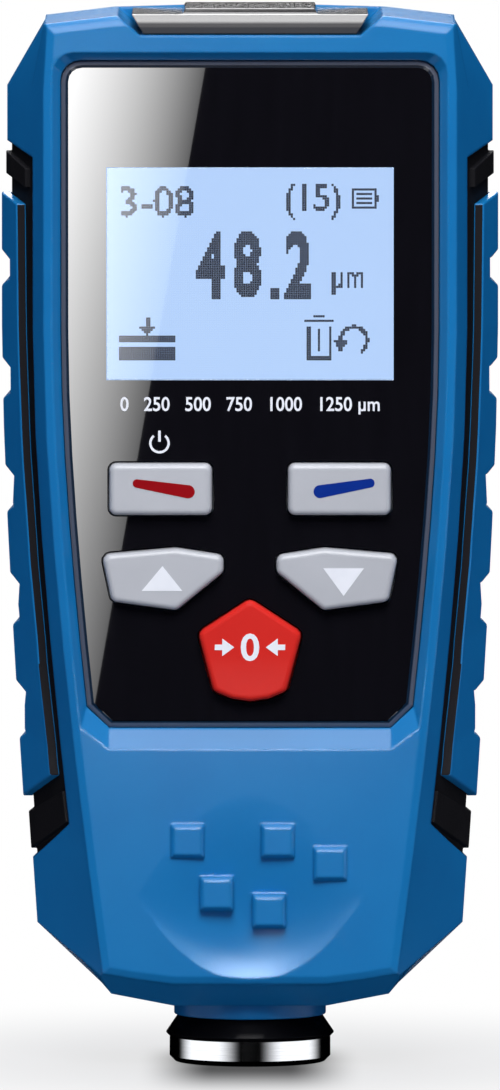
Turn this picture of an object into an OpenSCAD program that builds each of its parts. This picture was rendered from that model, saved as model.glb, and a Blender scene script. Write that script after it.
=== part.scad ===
// Pocket coating thickness gauge, standing on its measuring probe.
// X is the width, Y the depth with the front face towards -Y, and Z the height.
// The origin is the middle of the probe's foot.

/* [Case] */
// Height of the shoulders above the foot
case_h = 114.1; // [113:0.1:118]
// Rise of the crown behind the port cover
crown_rise = 0.8; // [0.4:0.1:1.2]
// Half width of the level crown
crown_x = 6; // [4:0.5:9]
// Width across the flanks at the parting line
case_w = 52.6; // [51.6:0.2:55]
// Width across the flanks where the foot chamfers start
case_foot_w = 46.2; // [45:0.2:48]
// Width of the front and rear faces across their softened edges
face_w = 45.2; // [44.6:0.2:46.4]
// Width of the faces at their foot
face_foot_w = 32.4; // [31.6:0.2:33.6]
// Distance from the parting line to the front face
front_depth = 13; // [13:0.1:14]
// Distance from the parting line to the rear face
rear_depth = 13.5; // [13.5:0.1:14.5]
// Radius of the softened edge round the front face
front_edge_r = 1.1; // [0.8:0.1:1.2]
// Radius of the softened edge round the rear face
rear_edge_r = 2.2; // [1.4:0.1:2.6]
// Width of the flat belt round the parting line
belt = 1; // [0.6:0.1:2]
// Thickness of the shell walls
wall = 2.4; // [2.2:0.1:2.8]
// Height of the lip that the rear shell puts inside the front shell
lip_h = 1.2; // [0.8:0.1:1.6]
// Thickness of that lip
lip_t = 0.9; // [0.7:0.1:1.1]

/* [Window and keys] */
// Width of the sloping wall round the window
window_slope = 0.85; // [0.6:0.05:1.0]
// Depth of the panel's face below the front face
window_depth = 1.2; // [1:0.1:1.4]
// Rise of the wide sill below the panel
sill_rise = 2.2; // [1.8:0.1:2.4]
// Thickness of the panel
panel_t = 1.4; // [1.2:0.1:1.6]
// Width of the panel's bevel
panel_bevel = 0.75; // [0.5:0.05:0.8]
// Thickness of the shelf that carries the panel
shelf_t = 1.2; // [1:0.1:1.4]
// Width of the visible display
display_w = 31; // [29:0.5:32]
// Height of the visible display
display_h = 23; // [21:0.5:23.5]
// Width of the two upper keys
soft_key_w = 11.2; // [10:0.1:11.6]
// Height of the two upper keys
soft_key_h = 5.7; // [5:0.1:6]
// How far the keys stand out of the panel
key_rise = 1.4; // [1.2:0.1:1.6]
// How far the keys travel
key_travel = 0.5; // [0.3:0.1:0.6]
// Width of the flange that keeps a key in
key_flange = 0.8; // [0.6:0.1:0.9]
// Side of the five raised squares
stud_side = 3.6; // [3:0.1:3.8]
// Height of the five raised squares
stud_rise = 0.5; // [0.3:0.1:0.5]
// Depth of the thumb dish
dish_depth = 1; // [0.6:0.05:1.1]

/* [Grips] */
// How far the black inlay lies below the flank
inlay_sink = 0.5; // [0.4:0.05:0.6]
// Thickness of the black inlay
inlay_t = 0.8; // [0.6:0.05:0.8]
// How far the grip bar stands out of the flank
bar_rise = 0.6; // [0.4:0.05:0.8]
// Depth of the notches in the grip bar
notch_depth = 0.75; // [0.5:0.05:0.9]
// How far the lugs at the ends of the inlay stand out of the flank
lug_rise = 0.12; // [0.05:0.01:0.3]

/* [Batteries and door] */
// Diameter of a battery cell
cell_d = 10.5; // [10:0.1:10.7]
// Length of a battery cell with its button
cell_l = 44.5; // [43:0.1:45]
// Width of the battery door
door_w = 26; // [25.6:0.2:28]
// Thickness of the battery door
door_t = 1.6; // [1.4:0.1:1.8]

/* [Probe] */
// Diameter of the chrome foot
foot_d = 17.5; // [17:0.1:18]
// Height of the chrome foot
foot_h = 2.7; // [2.4:0.1:3]
// Height of the black collar's cone
collar_h = 2.4; // [2:0.1:2.6]
// Diameter of the neck above the collar
neck_d = 16.5; // [16:0.1:17]
// Diameter of the measuring tip's rod
tip_d = 3.6; // [3:0.1:4]
// How far the measuring tip springs back
tip_travel = 1; // [0.6:0.1:1.2]

/* [Hidden] */
$fn = 64;
part_gap = 0.1;
slide_gap = 0.2;
fit_gap = 0.05;
cut_over = 1;

// Heights were drawn on a case 114.1 mm high, and stretch with the case.
drawn_share = 1 / 114.1;
function up(z) = z * case_h * drawn_share;

case_blue = "#2a78be";
inlay_black = "#1e1b1e";
panel_black = "#121116";
key_grey = "#cdcdd7";
key_red = "#e6322d";
chrome = "#c8ccd2";
board_green = "#1d5b39";
copper = "#b8703c";
steel = "#a9adb3";

shoulder_x = 14.6;
corner_x = 22.2;
corner_drop = 0.9;
face_crown = 0.2;
flank_top_drop = 8;
waist_z = up(80);
face_bend_z = up(57.2);
face_foot_z = 10.3;
face_sole_z = 8.7;
face_sole_x = 12.3;
flank_bend_z = up(61.5);
flank_foot_z = 15.1;
sole_corner_x = 15.4;
sole_corner_z = 7.8;
sole_x = 8.3;
sole_z = 6.4;
flank_steps = 6;

// Outlines. Each runs clockwise as seen from the front, from the top round the right side.
function mirrored(half) = concat(half, [for (i = [len(half) - 1:-1:0]) [-half[i][0], half[i][1]]]);
function unit(v) = v / norm(v);
function left_of(a, b) = let (d = unit(b - a)) [-d[1], d[0]];
function moved_in(pts, d) = let (n = len(pts)) [
    for (i = [0:n - 1])
        let (u = left_of(pts[(i + n - 1) % n], pts[i]), v = left_of(pts[i], pts[(i + 1) % n]))
            pts[i] - d * (u + v) / (1 + u * v)
];
function rounded(pts, r, steps = 4) = let (n = len(pts)) [
    for (i = [0:n - 1])
        let (u = left_of(pts[(i + n - 1) % n], pts[i]), v = left_of(pts[i], pts[(i + 1) % n]))
            for (k = [0:steps])
                pts[i] - r * (u + v) / (1 + u * v) + r * unit(u + (v - u) * k / steps)
];
function rectangle(w, h) = [[-w / 2, h / 2], [w / 2, h / 2], [w / 2, -h / 2], [-w / 2, -h / 2]];
function shifted(pts, x, z) = [for (p = pts) p + [x, z]];

// The flanks fall straight to the waist and then draw in along a parabola to the foot.
function flank_x(z, top_x, foot_x, bend_z, foot_z) =
    let (t = z >= waist_z ? 0 : let (a = waist_z - 2 * bend_z + foot_z, b = 2 * (bend_z - waist_z))
        (-b - sqrt(b * b - 4 * a * (waist_z - z))) / (2 * a))
            top_x - (top_x - foot_x) * t * t;
function face_x(z) = flank_x(z, face_w / 2, face_foot_w / 2, face_bend_z, face_foot_z);
function belt_x(z) = flank_x(z, case_w / 2, case_foot_w / 2, flank_bend_z, flank_foot_z);
function stepped(from, to, steps) = [for (i = [0:steps]) from + (to - from) * i / steps];

face_outline = mirrored(concat(
    [[crown_x, case_h + face_crown], [shoulder_x, case_h], [corner_x, case_h - corner_drop]],
    [[face_w / 2, case_h - flank_top_drop]],
    [for (z = stepped(waist_z, face_foot_z, flank_steps)) [face_x(z), z]],
    [for (x = [face_sole_x, sole_x])
        [x, face_sole_z + (face_foot_z - face_sole_z) * pow(2 * x / face_foot_w, 2)]]
));
belt_outline = mirrored(concat(
    [[crown_x, case_h + crown_rise], [shoulder_x, case_h], [corner_x, case_h - corner_drop]],
    [[case_w / 2, case_h - flank_top_drop]],
    [for (z = stepped(waist_z, flank_foot_z, flank_steps)) [belt_x(z), z]],
    [[sole_corner_x, sole_corner_z], [sole_x, sole_z]]
));

// Solids from outlines: a loft through outlines at several depths, and a plain slab.
// The two halves of a loft are split into triangles as mirror images of each other.
function loft_quad(a, b, c, d, right) = right ? [[a, b, c], [a, c, d]] : [[a, b, d], [b, c, d]];
module loft(rings) {
    n = len(rings[0][1]);
    m = len(rings);
    polyhedron(
        points = [for (r = rings, p = r[1]) [p[0], r[0], p[1]]],
        faces = concat(
            [[for (j = [0:n - 1]) j]],
            [[for (j = [n - 1:-1:0]) (m - 1) * n + j]],
            [for (i = [0:m - 2], j = [0:n - 1])
                let (a = i * n + j, d = i * n + (j + 1) % n)
                    each loft_quad(a, a + n, d + n, d, j < n / 2)]
        ),
        convexity = 6
    );
}
module slab(pts, y0, y1) translate([0, y1, 0]) rotate([90, 0, 0]) linear_extrude(y1 - y0) polygon(pts);
module post(x, z, r, y0, y1) translate([x, y0, z]) rotate([-90, 0, 0]) cylinder(r = r, h = y1 - y0);
module block(x0, x1, y0, y1, z0, z1) translate([x0, y0, z0]) cube([x1 - x0, y1 - y0, z1 - z0]);
module both_sides() {
    children();
    mirror([1, 0, 0]) children();
}

// Near the faces the flanks are still on their straight slope, while the sole is already at its full height.
sole_half_d = 8.8;
sole_share = 0.88;
sole_reach = 2;
function sole_outline(edge_y) =
    let (n = len(face_outline), flank_share = (edge_y - sole_half_d) / (edge_y - belt / 2)) [
        for (j = [0:n - 1])
            let (share = abs(j - (n - 1) / 2) < sole_reach ? sole_share : flank_share)
                face_outline[j] + (belt_outline[j] - face_outline[j]) * share
    ];

// The outside of the closed case, moved inwards by an inset.
module case_form(inset = 0) loft(concat(
    [for (a = [0:45:90]) [inset - front_depth + front_edge_r * (1 - cos(a)),
        moved_in(face_outline, inset + front_edge_r * (1 - sin(a)))]],
    [[-sole_half_d, moved_in(sole_outline(front_depth - front_edge_r), inset)]],
    [for (y = [-belt / 2, belt / 2]) [y, moved_in(belt_outline, inset)]],
    [[sole_half_d, moved_in(sole_outline(rear_depth - rear_edge_r), inset)]],
    [for (a = [90:-45:0]) [rear_depth - inset - rear_edge_r * (1 - cos(a)),
        moved_in(face_outline, inset + rear_edge_r * (1 - sin(a)))]]
));
reach = 2 * case_h;
module front_half() block(-reach, reach, -reach, 0, -reach, reach);
module rear_half() block(-reach, reach, 0, reach, -reach, reach);

// Depths of the pieces behind the window, from the front face inwards.
panel_y = window_depth - front_depth;
shelf_y = panel_y + panel_t;
shelf_back_y = shelf_y + shelf_t;
lcd_t = 1.9;
backlight_t = 2.7;
lcd_y = shelf_y + part_gap;
backlight_y = lcd_y + lcd_t;
board_y = backlight_y + backlight_t;
board_t = 1.6;
board_back_y = board_y + board_t;

// Window outlines: the rim in the front face, the seat and the panel.
rim_land = 0.2;
rim_inset = front_edge_r + rim_land;
seat_inset = rim_inset + window_slope;
panel_inset = seat_inset + part_gap;
window_foot_z = up(34.9);
window_drop = 2.6;
window_corner_r = 2.2;
sill_corner_h = 2.3;
sill_x = 15.2;
window_steps = 6;
function window_outline(inset, foot_z) =
    let (x = face_w / 2 - inset, top = case_h - window_drop - inset, r = window_corner_r)
        mirrored(concat(
            [for (a = [90:-22.5:0]) [x - r + r * cos(a), top - r + r * sin(a)]],
            [for (z = stepped(waist_z, foot_z + sill_corner_h, window_steps)) [face_x(z) - inset, z]],
            [[sill_x, foot_z]]
        ));
rim_outline = window_outline(rim_inset, window_foot_z);
seat_outline = window_outline(seat_inset, window_foot_z + sill_rise);
panel_outline = window_outline(panel_inset, window_foot_z + sill_rise + part_gap);
panel_face = moved_in(panel_outline, panel_bevel);

// Display, centred across the window.
display_top_z = up(97.75);
display_z = display_top_z - display_h / 2;
display_outline = shifted(rectangle(display_w, display_h), 0, display_z);
lcd_border = 1.8;
lcd_outline = moved_in(display_outline, -lcd_border);

// Keys: each is its outline on the panel, from its shape about its own height.
soft_key_x = 9.65;
soft_key_z = up(63);
soft_key_r = 0.8;
arrow_key_z = up(53.2);
arrow_key_r = 0.85;
arrow_key_shape = [[-16.1, 2.8], [-8, 3.5], [-2.8, 2.7], [-2.8, 0.8], [-7.9, -3.35], [-15, -2.4]];
zero_key_z = up(46);
zero_key_r = 0.9;
zero_key_top = 5.2;
zero_key_side = [5.7, 1.5];
zero_key_foot = [4, -4.9];
zero_key_sag = 1.1;
soft_key_outline = rounded(shifted(rectangle(soft_key_w, soft_key_h), -soft_key_x, soft_key_z), soft_key_r);
arrow_key_outline = rounded(shifted(arrow_key_shape, 0, arrow_key_z), arrow_key_r, 3);
zero_key_shape = concat(
    [[0, zero_key_top], zero_key_side, zero_key_foot],
    [for (u = [0.5, 0, -0.5]) [zero_key_foot[0] * u, zero_key_foot[1] - zero_key_sag * (1 - u * u)]],
    [[-zero_key_foot[0], zero_key_foot[1]], [-zero_key_side[0], zero_key_side[1]]]
);
zero_key_outline = rounded(shifted(zero_key_shape, 0, zero_key_z), zero_key_r, 2);
function flipped(pts) = [for (i = [len(pts) - 1:-1:0]) [-pts[i][0], pts[i][1]]];
key_outlines = [soft_key_outline, flipped(soft_key_outline), arrow_key_outline, flipped(arrow_key_outline),
    zero_key_outline];
key_top_y = panel_y - key_rise;
key_flange_t = 0.8;
key_flange_y = shelf_back_y + part_gap;
key_gap = 0.15;
key_skirt_y = panel_y + panel_t / 2;
// The key's rounded shoulder: how far below its top, then how far inside its outline.
key_shoulder = [[0, 0.55], [0.1, 0.3], [0.4, 0.1]];
module key_cap(pts) {
    loft(concat([for (k = key_shoulder) [key_top_y + k[0], moved_in(pts, k[1])]], [[key_skirt_y, pts]]));
    slab(pts, key_skirt_y - part_gap, key_flange_y + key_flange_t);
    slab(moved_in(pts, -key_flange), key_flange_y, key_flange_y + key_flange_t);
}

// Screws that hold the case: their places, and the columns round them.
screw_shank_r = 1;
screw_head_r = 2;
screw_head_h = 1.4;
screw_seat_y = 6;
screw_end_y = -5.5;
screw_places = [[17.3, case_h - 10.8], [12.4, 20]];
boss_r = 2.7;
rear_boss_r = 3.5;
screw_gap = 0.1;
screw_room = 1;
screw_end_gap = 0.3;

// Screws that hold the board to the back of the shelf.
board_post_r = 1.8;
board_screw_r = 0.8;
board_screw_head_r = 1.5;
board_screw_head_h = 1;
board_screw_l = 3;
board_post_x = 11.5;
board_post_gap = 0.6;
board_posts = [[board_post_x, display_top_z + lcd_border + board_post_r + board_post_gap],
    [board_post_x, up(43.5)]];

// Port at the top: the notch in the crown, its cover and the socket below it.
notch_floor_z = case_h - 2.1;
port_notch_x = 11.9;
port_notch_flare = 2.4;
port_notch_back_y = 9;
socket_w = 7.7;
socket_d = 3.9;
socket_h = 9;
socket_wall = 0.4;
socket_y = board_back_y + socket_d / 2;
port_slot_drop = 3;
board_tongue_x = 13.8;

// Grip pocket, bar and lugs, as seen from the side: depth from the belt, then height.
pocket_half_d = 9.2;
function up_all(pts) = [for (p = pts) [p[0], up(p[1])]];
pocket_side = up_all([[0, 100.2], [pocket_half_d, 98.7], [pocket_half_d, 26.5], [0, 21.9]]);
bar_side = up_all([[0, 94.5], [5.4, 93.5], [7.3, 31.6], [0, 28.8]]);
upper_lug_side = up_all([[0, 99], [6.9, 97.4], [6.9, 95.3], [0, 96.6]]);
lower_lug_side = up_all([[0, 27], [8.6, 30], [8.6, 26.6], [0, 23.1]]);
function side_outline(half) = concat(half, [for (i = [len(half) - 2:-1:1]) [-half[i][0], half[i][1]]]);
function chevron(half) = concat(half, [for (i = [2, 1]) [-half[i][0], half[i][1]]]);
side_start_x = 14;
module side_prism(pts) translate([side_start_x, 0, 0]) rotate([90, 0, 90]) linear_extrude(reach) polygon(pts);
notch_first_z = up(86.3);
notch_pitch = up(12.05);
notch_reach = 4;
notch_count = 5;
notch_floor = 2.4;
notch_growth = 0.6;

// Battery bay in the rear shell and its door.
bay_z = up(43);
cell_x = 5.6;
bay_wall = 1.2;
bay_gap = 0.3;
bay_half_w = cell_x + cell_d / 2 + bay_gap;
bay_spring_h = 3.6;
contact_t = 0.4;
bay_top_z = bay_z + cell_l + bay_spring_h + 2 * contact_t;
cell_y = rear_depth - door_t - slide_gap - cell_d / 2 - bay_gap;
bay_floor_y = cell_y - cell_d / 2 - bay_gap;
door_y = rear_depth - door_t;
door_ledge_y = door_y - slide_gap;
door_over = 2.1;
door_under = 7;
door_top_z = bay_top_z + door_over;
door_foot_z = bay_z - door_under;
door_r = 2;
door_outline = rounded([[-door_w / 2, door_top_z], [door_w / 2, door_top_z], [door_w / 2, door_foot_z],
    [-door_w / 2, door_foot_z]], door_r);
door_frame_w = 1.6;
door_tab_x = 7;
door_tab_w = 4;
door_tab_h = 1.9;
door_tab_t = 1.2;
door_tab_drop = 0.3;
door_tab_root = 2;
door_tab_neck = 0.6;
door_tab_gap = 0.15;
door_tab_y = door_y - door_tab_drop - door_tab_t;
door_screw_drop = 3.7;
door_screw_z = bay_z - door_screw_drop;
door_screw_boss_r = 2.6;
door_screw_head_r = 1.9;
door_screw_head_h = 0.9;
door_screw_sink = 0.1;
door_screw_l = 3.5;
door_screw_end_gap = 0.6;
door_screw_slot = 0.6;
door_swing_room = 0.25;
door_rib_count = 4;
door_rib_pitch = 2.2;
door_rib_w = 12;
door_rib_h = 1;
door_rib_r = 0.45;
door_rib_depth = 0.5;
door_rib_rise = 4;
bay_end_room = 3.4;
bay_end_y = cell_y + bay_end_room;

// Probe, all turned about the Z axis.
neck_z = foot_h + collar_h;
neck_top_z = 9.1;
probe_flange_d = 18.6;
probe_flange_h = 1.6;
probe_barrel_d = 14.4;
probe_barrel_z = 24;
probe_bore_d = 10.4;
sleeve_tube_d = 11;
sleeve_tube_z = 8.2;
foot_chamfer = 0.6;
foot_groove = 1;
tip_lift = 0.1;
tip_nose = 0.8;
bobbin_z = sleeve_tube_z + part_gap;
bobbin_flange_t = 1;
bobbin_r = probe_bore_d / 2 - slide_gap;
winding_r = 4.4;
cap_t = 1.6;
cap_plug_h = 1;
probe_spring_r = 3;
probe_spring_wire = 0.35;
probe_spring_turns = 4;
probe_spring_play = 0.2;
probe_spring_h = 2 * probe_spring_wire * probe_spring_turns + probe_spring_play + tip_travel;
bobbin_top_z = probe_barrel_z - cap_plug_h - probe_spring_h;
bobbin_wall = 1;

tray_wall = 1.6;
module front_shell() color(case_blue) {
    front_moulding();
    studs();
}
module front_moulding() difference() {
    union() {
        difference() {
            intersection() {
                case_form();
                front_half();
            }
            case_form(wall);
        }
        intersection() {
            case_form(wall / 2);
            slab(moved_in(seat_outline, -tray_wall), -front_depth, shelf_back_y);
        }
        both_sides() {
            for (p = screw_places) post(p[0], p[1], boss_r, wall / 2 - front_depth, 0);
            for (p = board_posts) post(p[0], p[1], board_post_r, shelf_y + part_gap, board_y);
        }
    }
    loft([
        [-front_depth - cut_over, rim_outline],
        [-front_depth, rim_outline],
        [panel_y, seat_outline],
        [shelf_y, seat_outline]
    ]);
    slab(moved_in(lcd_outline, -part_gap), shelf_y - cut_over, shelf_back_y + cut_over);
    for (k = key_outlines) slab(moved_in(k, -key_gap), shelf_y - cut_over, shelf_back_y + cut_over);
    thumb_dish();
    grip_pockets();
    port_notch();
    probe_seat();
    both_sides() {
        for (p = screw_places) post(p[0], p[1], screw_shank_r + fit_gap, screw_end_y - screw_room, cut_over);
        for (p = board_posts)
            post(p[0], p[1], board_screw_r + fit_gap, board_y - board_screw_l, board_y + cut_over);
    }
}

// Five bevelled squares scattered over the lower front, rooted in the wall below the thumb dish.
stud_places = up_all([[-6.75, 24.95], [3, 24.95], [8.66, 22.5], [-3.6, 19.25], [2.05, 17.35]]);
stud_bevel = 0.35;
stud_root = 1.7;
module studs() for (p = stud_places) {
    square_at = shifted(rectangle(stud_side, stud_side), p[0], p[1]);
    loft([
        [-front_depth - stud_rise, moved_in(square_at, stud_bevel)],
        [-front_depth - stud_rise + stud_bevel, square_at],
        [stud_root - front_depth, square_at]
    ]);
}

// A lens-shaped hollow, steepest along its lower edge and fading out upwards.
dish_half_w = 13;
dish_foot_z = 9.6;
dish_side_z = up(19.4);
dish_top_z = up(33);
dish_tip_h = 0.2;
dish_peak = 9.48;
dish_lift = 0.02;
dish_columns = 20;
dish_rows = 12;
function dish_low(u) = dish_foot_z + (dish_side_z - dish_foot_z) * u * u;
function dish_high(u) = dish_top_z - (dish_top_z - dish_side_z - dish_tip_h) * u * u;
function dish_sink(u, t) = dish_depth * dish_peak * t * pow(1 - t, 3) * pow(1 - u * u, 2);
module thumb_dish() {
    grid = [for (i = [0:dish_columns], j = [0:dish_rows])
        let (u = 2 * i / dish_columns - 1, t = j / dish_rows)
            [u, t, dish_low(u) + (dish_high(u) - dish_low(u)) * t]];
    n = dish_rows + 1;
    count = len(grid);
    sunk = [for (g = grid) [g[0] * dish_half_w, dish_sink(g[0], g[1]) - front_depth - dish_lift, g[2]]];
    lid = [for (g = grid) [g[0] * dish_half_w, -front_depth - cut_over, g[2]]];
    edge = concat(
        [for (j = [0:dish_rows]) j],
        [for (i = [1:dish_columns]) i * n + dish_rows],
        [for (j = [dish_rows - 1:-1:0]) dish_columns * n + j],
        [for (i = [dish_columns - 1:-1:1]) i * n]
    );
    cells = [for (i = [0:dish_columns - 1], j = [0:dish_rows - 1]) i * n + j];
    polyhedron(
        points = concat(sunk, lid),
        faces = concat(
            [for (c = cells) [c, c + n, c + n + 1]],
            [for (c = cells) [c, c + n + 1, c + 1]],
            [for (c = cells) [count + c, count + c + 1, count + c + n + 1]],
            [for (c = cells) [count + c, count + c + n + 1, count + c + n]],
            [for (k = [0:len(edge) - 1]) let (a = edge[k], b = edge[(k + 1) % len(edge)])
                [a, b, count + b, count + a]]
        ),
        convexity = 6
    );
}

// Pockets in both flanks for the inlays, across the parting line.
module grip_pockets() difference() {
    both_sides() side_prism(side_outline(pocket_side));
    case_form(inlay_sink + inlay_t);
}

// Notch in the crown for the port cover, open to the front, with a slot down to the socket.
module port_notch() {
    flare = port_notch_flare * 2;
    notch_front = [[-port_notch_x - flare, notch_floor_z + 2 * (case_h - notch_floor_z)],
        [port_notch_x + flare, notch_floor_z + 2 * (case_h - notch_floor_z)],
        [port_notch_x, notch_floor_z], [-port_notch_x, notch_floor_z]];
    slab(notch_front, -front_depth - cut_over, port_notch_back_y);
    slot_x = socket_w / 2 + part_gap;
    slot_y = socket_d / 2 + part_gap;
    block(-slot_x, slot_x, socket_y - slot_y, socket_y + slot_y, case_h - wall - port_slot_drop, case_h);
}

// Round seat for the probe in the sole of the case.
module probe_seat() {
    cylinder(d = neck_d + 2 * fit_gap, h = neck_top_z + cut_over);
    translate([0, 0, neck_top_z - part_gap])
        cylinder(d = probe_flange_d + 2 * part_gap, h = probe_flange_h + 2 * part_gap);
}

module rear_shell() color(case_blue) difference() {
    union() {
        difference() {
            intersection() {
                case_form();
                rear_half();
            }
            case_form(wall);
        }
        shell_lip();
        intersection() {
            case_form(wall / 2);
            battery_bay();
        }
        both_sides() for (p = screw_places) post(p[0], p[1], rear_boss_r, 0, rear_depth - wall / 2);
    }
    slab(moved_in(door_outline, -slide_gap), door_ledge_y, rear_depth + cut_over);
    block(-bay_half_w, bay_half_w, bay_floor_y, rear_depth, bay_z, bay_top_z);
    block(-bay_half_w, bay_half_w, bay_end_y, rear_depth - door_t, bay_z, door_top_z);
    both_sides() block(door_tab_x - door_tab_w / 2 - slide_gap, door_tab_x + door_tab_w / 2 + slide_gap,
        bay_end_y, door_tab_y + door_tab_t + door_tab_gap, bay_top_z, door_top_z + door_tab_h + slide_gap);
    post(0, door_screw_z, screw_shank_r + door_swing_room, door_ledge_y - door_screw_l, door_y);
    grip_pockets();
    port_notch();
    probe_seat();
    both_sides() for (p = screw_places) {
        post(p[0], p[1], screw_shank_r + screw_gap, -cut_over, screw_seat_y + cut_over);
        post(p[0], p[1], screw_head_r + slide_gap, screw_seat_y, rear_depth + cut_over);
    }
}

// Lip on the rear shell that locates the front shell, rooted in the rear shell's wall.
module lip_band(y0, y1) block(-reach, reach, y0, y1, flank_foot_z, notch_floor_z - 2 * wall);
module shell_lip() difference() {
    union() {
        intersection() {
            case_form(wall + part_gap);
            lip_band(-lip_h, lip_h);
        }
        intersection() {
            case_form(wall / 2);
            lip_band(part_gap, 2 * lip_h);
        }
    }
    case_form(wall + part_gap + lip_t);
}

// Walls of the battery bay, with the frame that the door closes on.
module battery_bay() {
    block(-bay_half_w - bay_wall, bay_half_w + bay_wall, bay_floor_y - bay_wall, bay_end_y,
        bay_z - bay_wall, bay_top_z + bay_wall);
    slab(moved_in(door_outline, -door_frame_w), bay_end_y - bay_wall, rear_depth);
    post(0, door_screw_z, door_screw_boss_r, cell_y, rear_depth - wall / 2);
}

module side_inlay() color(inlay_black) difference() {
    union() {
        intersection() {
            case_form(inlay_sink);
            side_prism(moved_in(side_outline(pocket_side), part_gap));
        }
        intersection() {
            case_form(-lug_rise);
            union() {
                side_prism(chevron(upper_lug_side));
                side_prism(chevron(lower_lug_side));
            }
        }
    }
    case_form(inlay_sink + inlay_t);
}
module right_side_inlay() side_inlay();
module left_side_inlay() mirror([1, 0, 0]) side_inlay();

// Scalloped bar: its notches are straight cuts through the depth.
module grip_bar() color(case_blue) difference() {
    intersection() {
        case_form(-bar_rise);
        side_prism(side_outline(bar_side));
    }
    case_form(inlay_sink);
    for (i = [0:notch_count - 1]) {
        z = notch_first_z - i * notch_pitch;
        half = (notch_floor + i * notch_growth) / 2;
        floor_x = belt_x(z) + bar_rise - notch_depth;
        out_x = floor_x + notch_reach;
        slab([[floor_x, z + half], [out_x, z + half + notch_reach], [out_x, z - half - notch_reach],
            [floor_x, z - half]], -rear_depth, rear_depth);
    }
}
module right_grip_bar() grip_bar();
module left_grip_bar() mirror([1, 0, 0]) grip_bar();

panel_bevel_slope = 0.6;
module front_panel() color(panel_black) difference() {
    loft([
        [panel_y, panel_face],
        [panel_y + panel_bevel * panel_bevel_slope, panel_outline],
        [shelf_y, panel_outline]
    ]);
    slab(display_outline, panel_y - cut_over, shelf_y + cut_over);
    for (k = key_outlines) slab(moved_in(k, -key_gap), panel_y - cut_over, shelf_y + cut_over);
}

module display_lens() color("lightblue", 0.4)
    slab(moved_in(display_outline, fit_gap), panel_y + fit_gap, shelf_y);

module lcd_glass() color("#b0d0ff") slab(lcd_outline, lcd_y, backlight_y);

backlight_wall = 1.2;
backlight_sink = 0.6;
module lcd_backlight() color("white") difference() {
    slab(lcd_outline, backlight_y, board_y);
    slab(moved_in(lcd_outline, backlight_wall), backlight_y - cut_over, backlight_y + backlight_sink);
}

// Circuit board with its soldered chips and the tongue that carries the socket.
board_x = 17;
board_foot_z = up(36);
board_corner_x = 6;
board_corner_z = 8;
board_top_gap = 0.4;
// Each chip: how far across and how high it sits, then its width, height and thickness.
chips = [[0, up(80), 8, 8, 1.2], [-10, up(82.5), 4, 5, 1], [10, up(56.5), 6, 5, 1.4]];
module main_board() color(board_green) difference() {
    union() {
        slab([[-board_x, display_top_z + lcd_border], [board_x, display_top_z + lcd_border],
            [board_x, board_foot_z + board_corner_z], [board_x - board_corner_x, board_foot_z],
            [board_corner_x - board_x, board_foot_z], [-board_x, board_foot_z + board_corner_z]],
            board_y, board_back_y);
        block(-board_tongue_x, board_tongue_x, board_y, board_back_y, display_top_z,
            notch_floor_z - wall - board_top_gap);
        for (c = chips)
            slab(shifted(rectangle(c[2], c[3]), c[0], c[1]), board_back_y, board_back_y + c[4]);
    }
    both_sides() for (p = board_posts)
        post(p[0], p[1], board_screw_r + screw_gap, board_y - cut_over, board_back_y + cut_over);
}

module board_screws() color(steel) both_sides() for (p = board_posts) {
    post(p[0], p[1], board_screw_r, board_y - board_screw_l + screw_end_gap, board_back_y + part_gap);
    post(p[0], p[1], board_screw_head_r, board_back_y, board_back_y + board_screw_head_h);
}

// Five push switches on the board, one behind each key.
switch_side = 4.5;
switch_plunger_r = 1.2;
switch_plunger_h = 0.4;
arrow_switch_x = 9;
switch_places = [[-soft_key_x, soft_key_z], [soft_key_x, soft_key_z], [-arrow_switch_x, arrow_key_z],
    [arrow_switch_x, arrow_key_z], [0, zero_key_z]];
switch_plunger_y = key_flange_y + key_flange_t + key_travel + part_gap;
module key_switches() color("#3a3a3e") for (p = switch_places) {
    switch_square = shifted(rectangle(switch_side, switch_side), p[0], p[1]);
    slab(switch_square, switch_plunger_y + switch_plunger_h, board_y);
    post(p[0], p[1], switch_plunger_r, switch_plunger_y, board_y - part_gap);
}

module left_soft_key() color(key_grey) key_cap(key_outlines[0]);
module right_soft_key() color(key_grey) key_cap(key_outlines[1]);
module up_key() color(key_grey) key_cap(key_outlines[2]);
module down_key() color(key_grey) key_cap(key_outlines[3]);
module zero_key() color(key_red) key_cap(key_outlines[4]);

module case_screws() color(steel) both_sides() for (p = screw_places) {
    post(p[0], p[1], screw_shank_r, screw_end_y, screw_seat_y + part_gap);
    difference() {
        post(p[0], p[1], screw_head_r, screw_seat_y, screw_seat_y + screw_head_h);
        cross_recess(p[0], p[1], screw_seat_y + screw_head_h);
    }
}
cross_w = 0.5;
cross_l = 2.2;
cross_depth = 0.7;
module cross_recess(x, z, y) for (s = [[cross_w, cross_l], [cross_l, cross_w]])
    block(x - s[0] / 2, x + s[0] / 2, y - cross_depth, y + cut_over, z - s[1] / 2, z + s[1] / 2);

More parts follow.
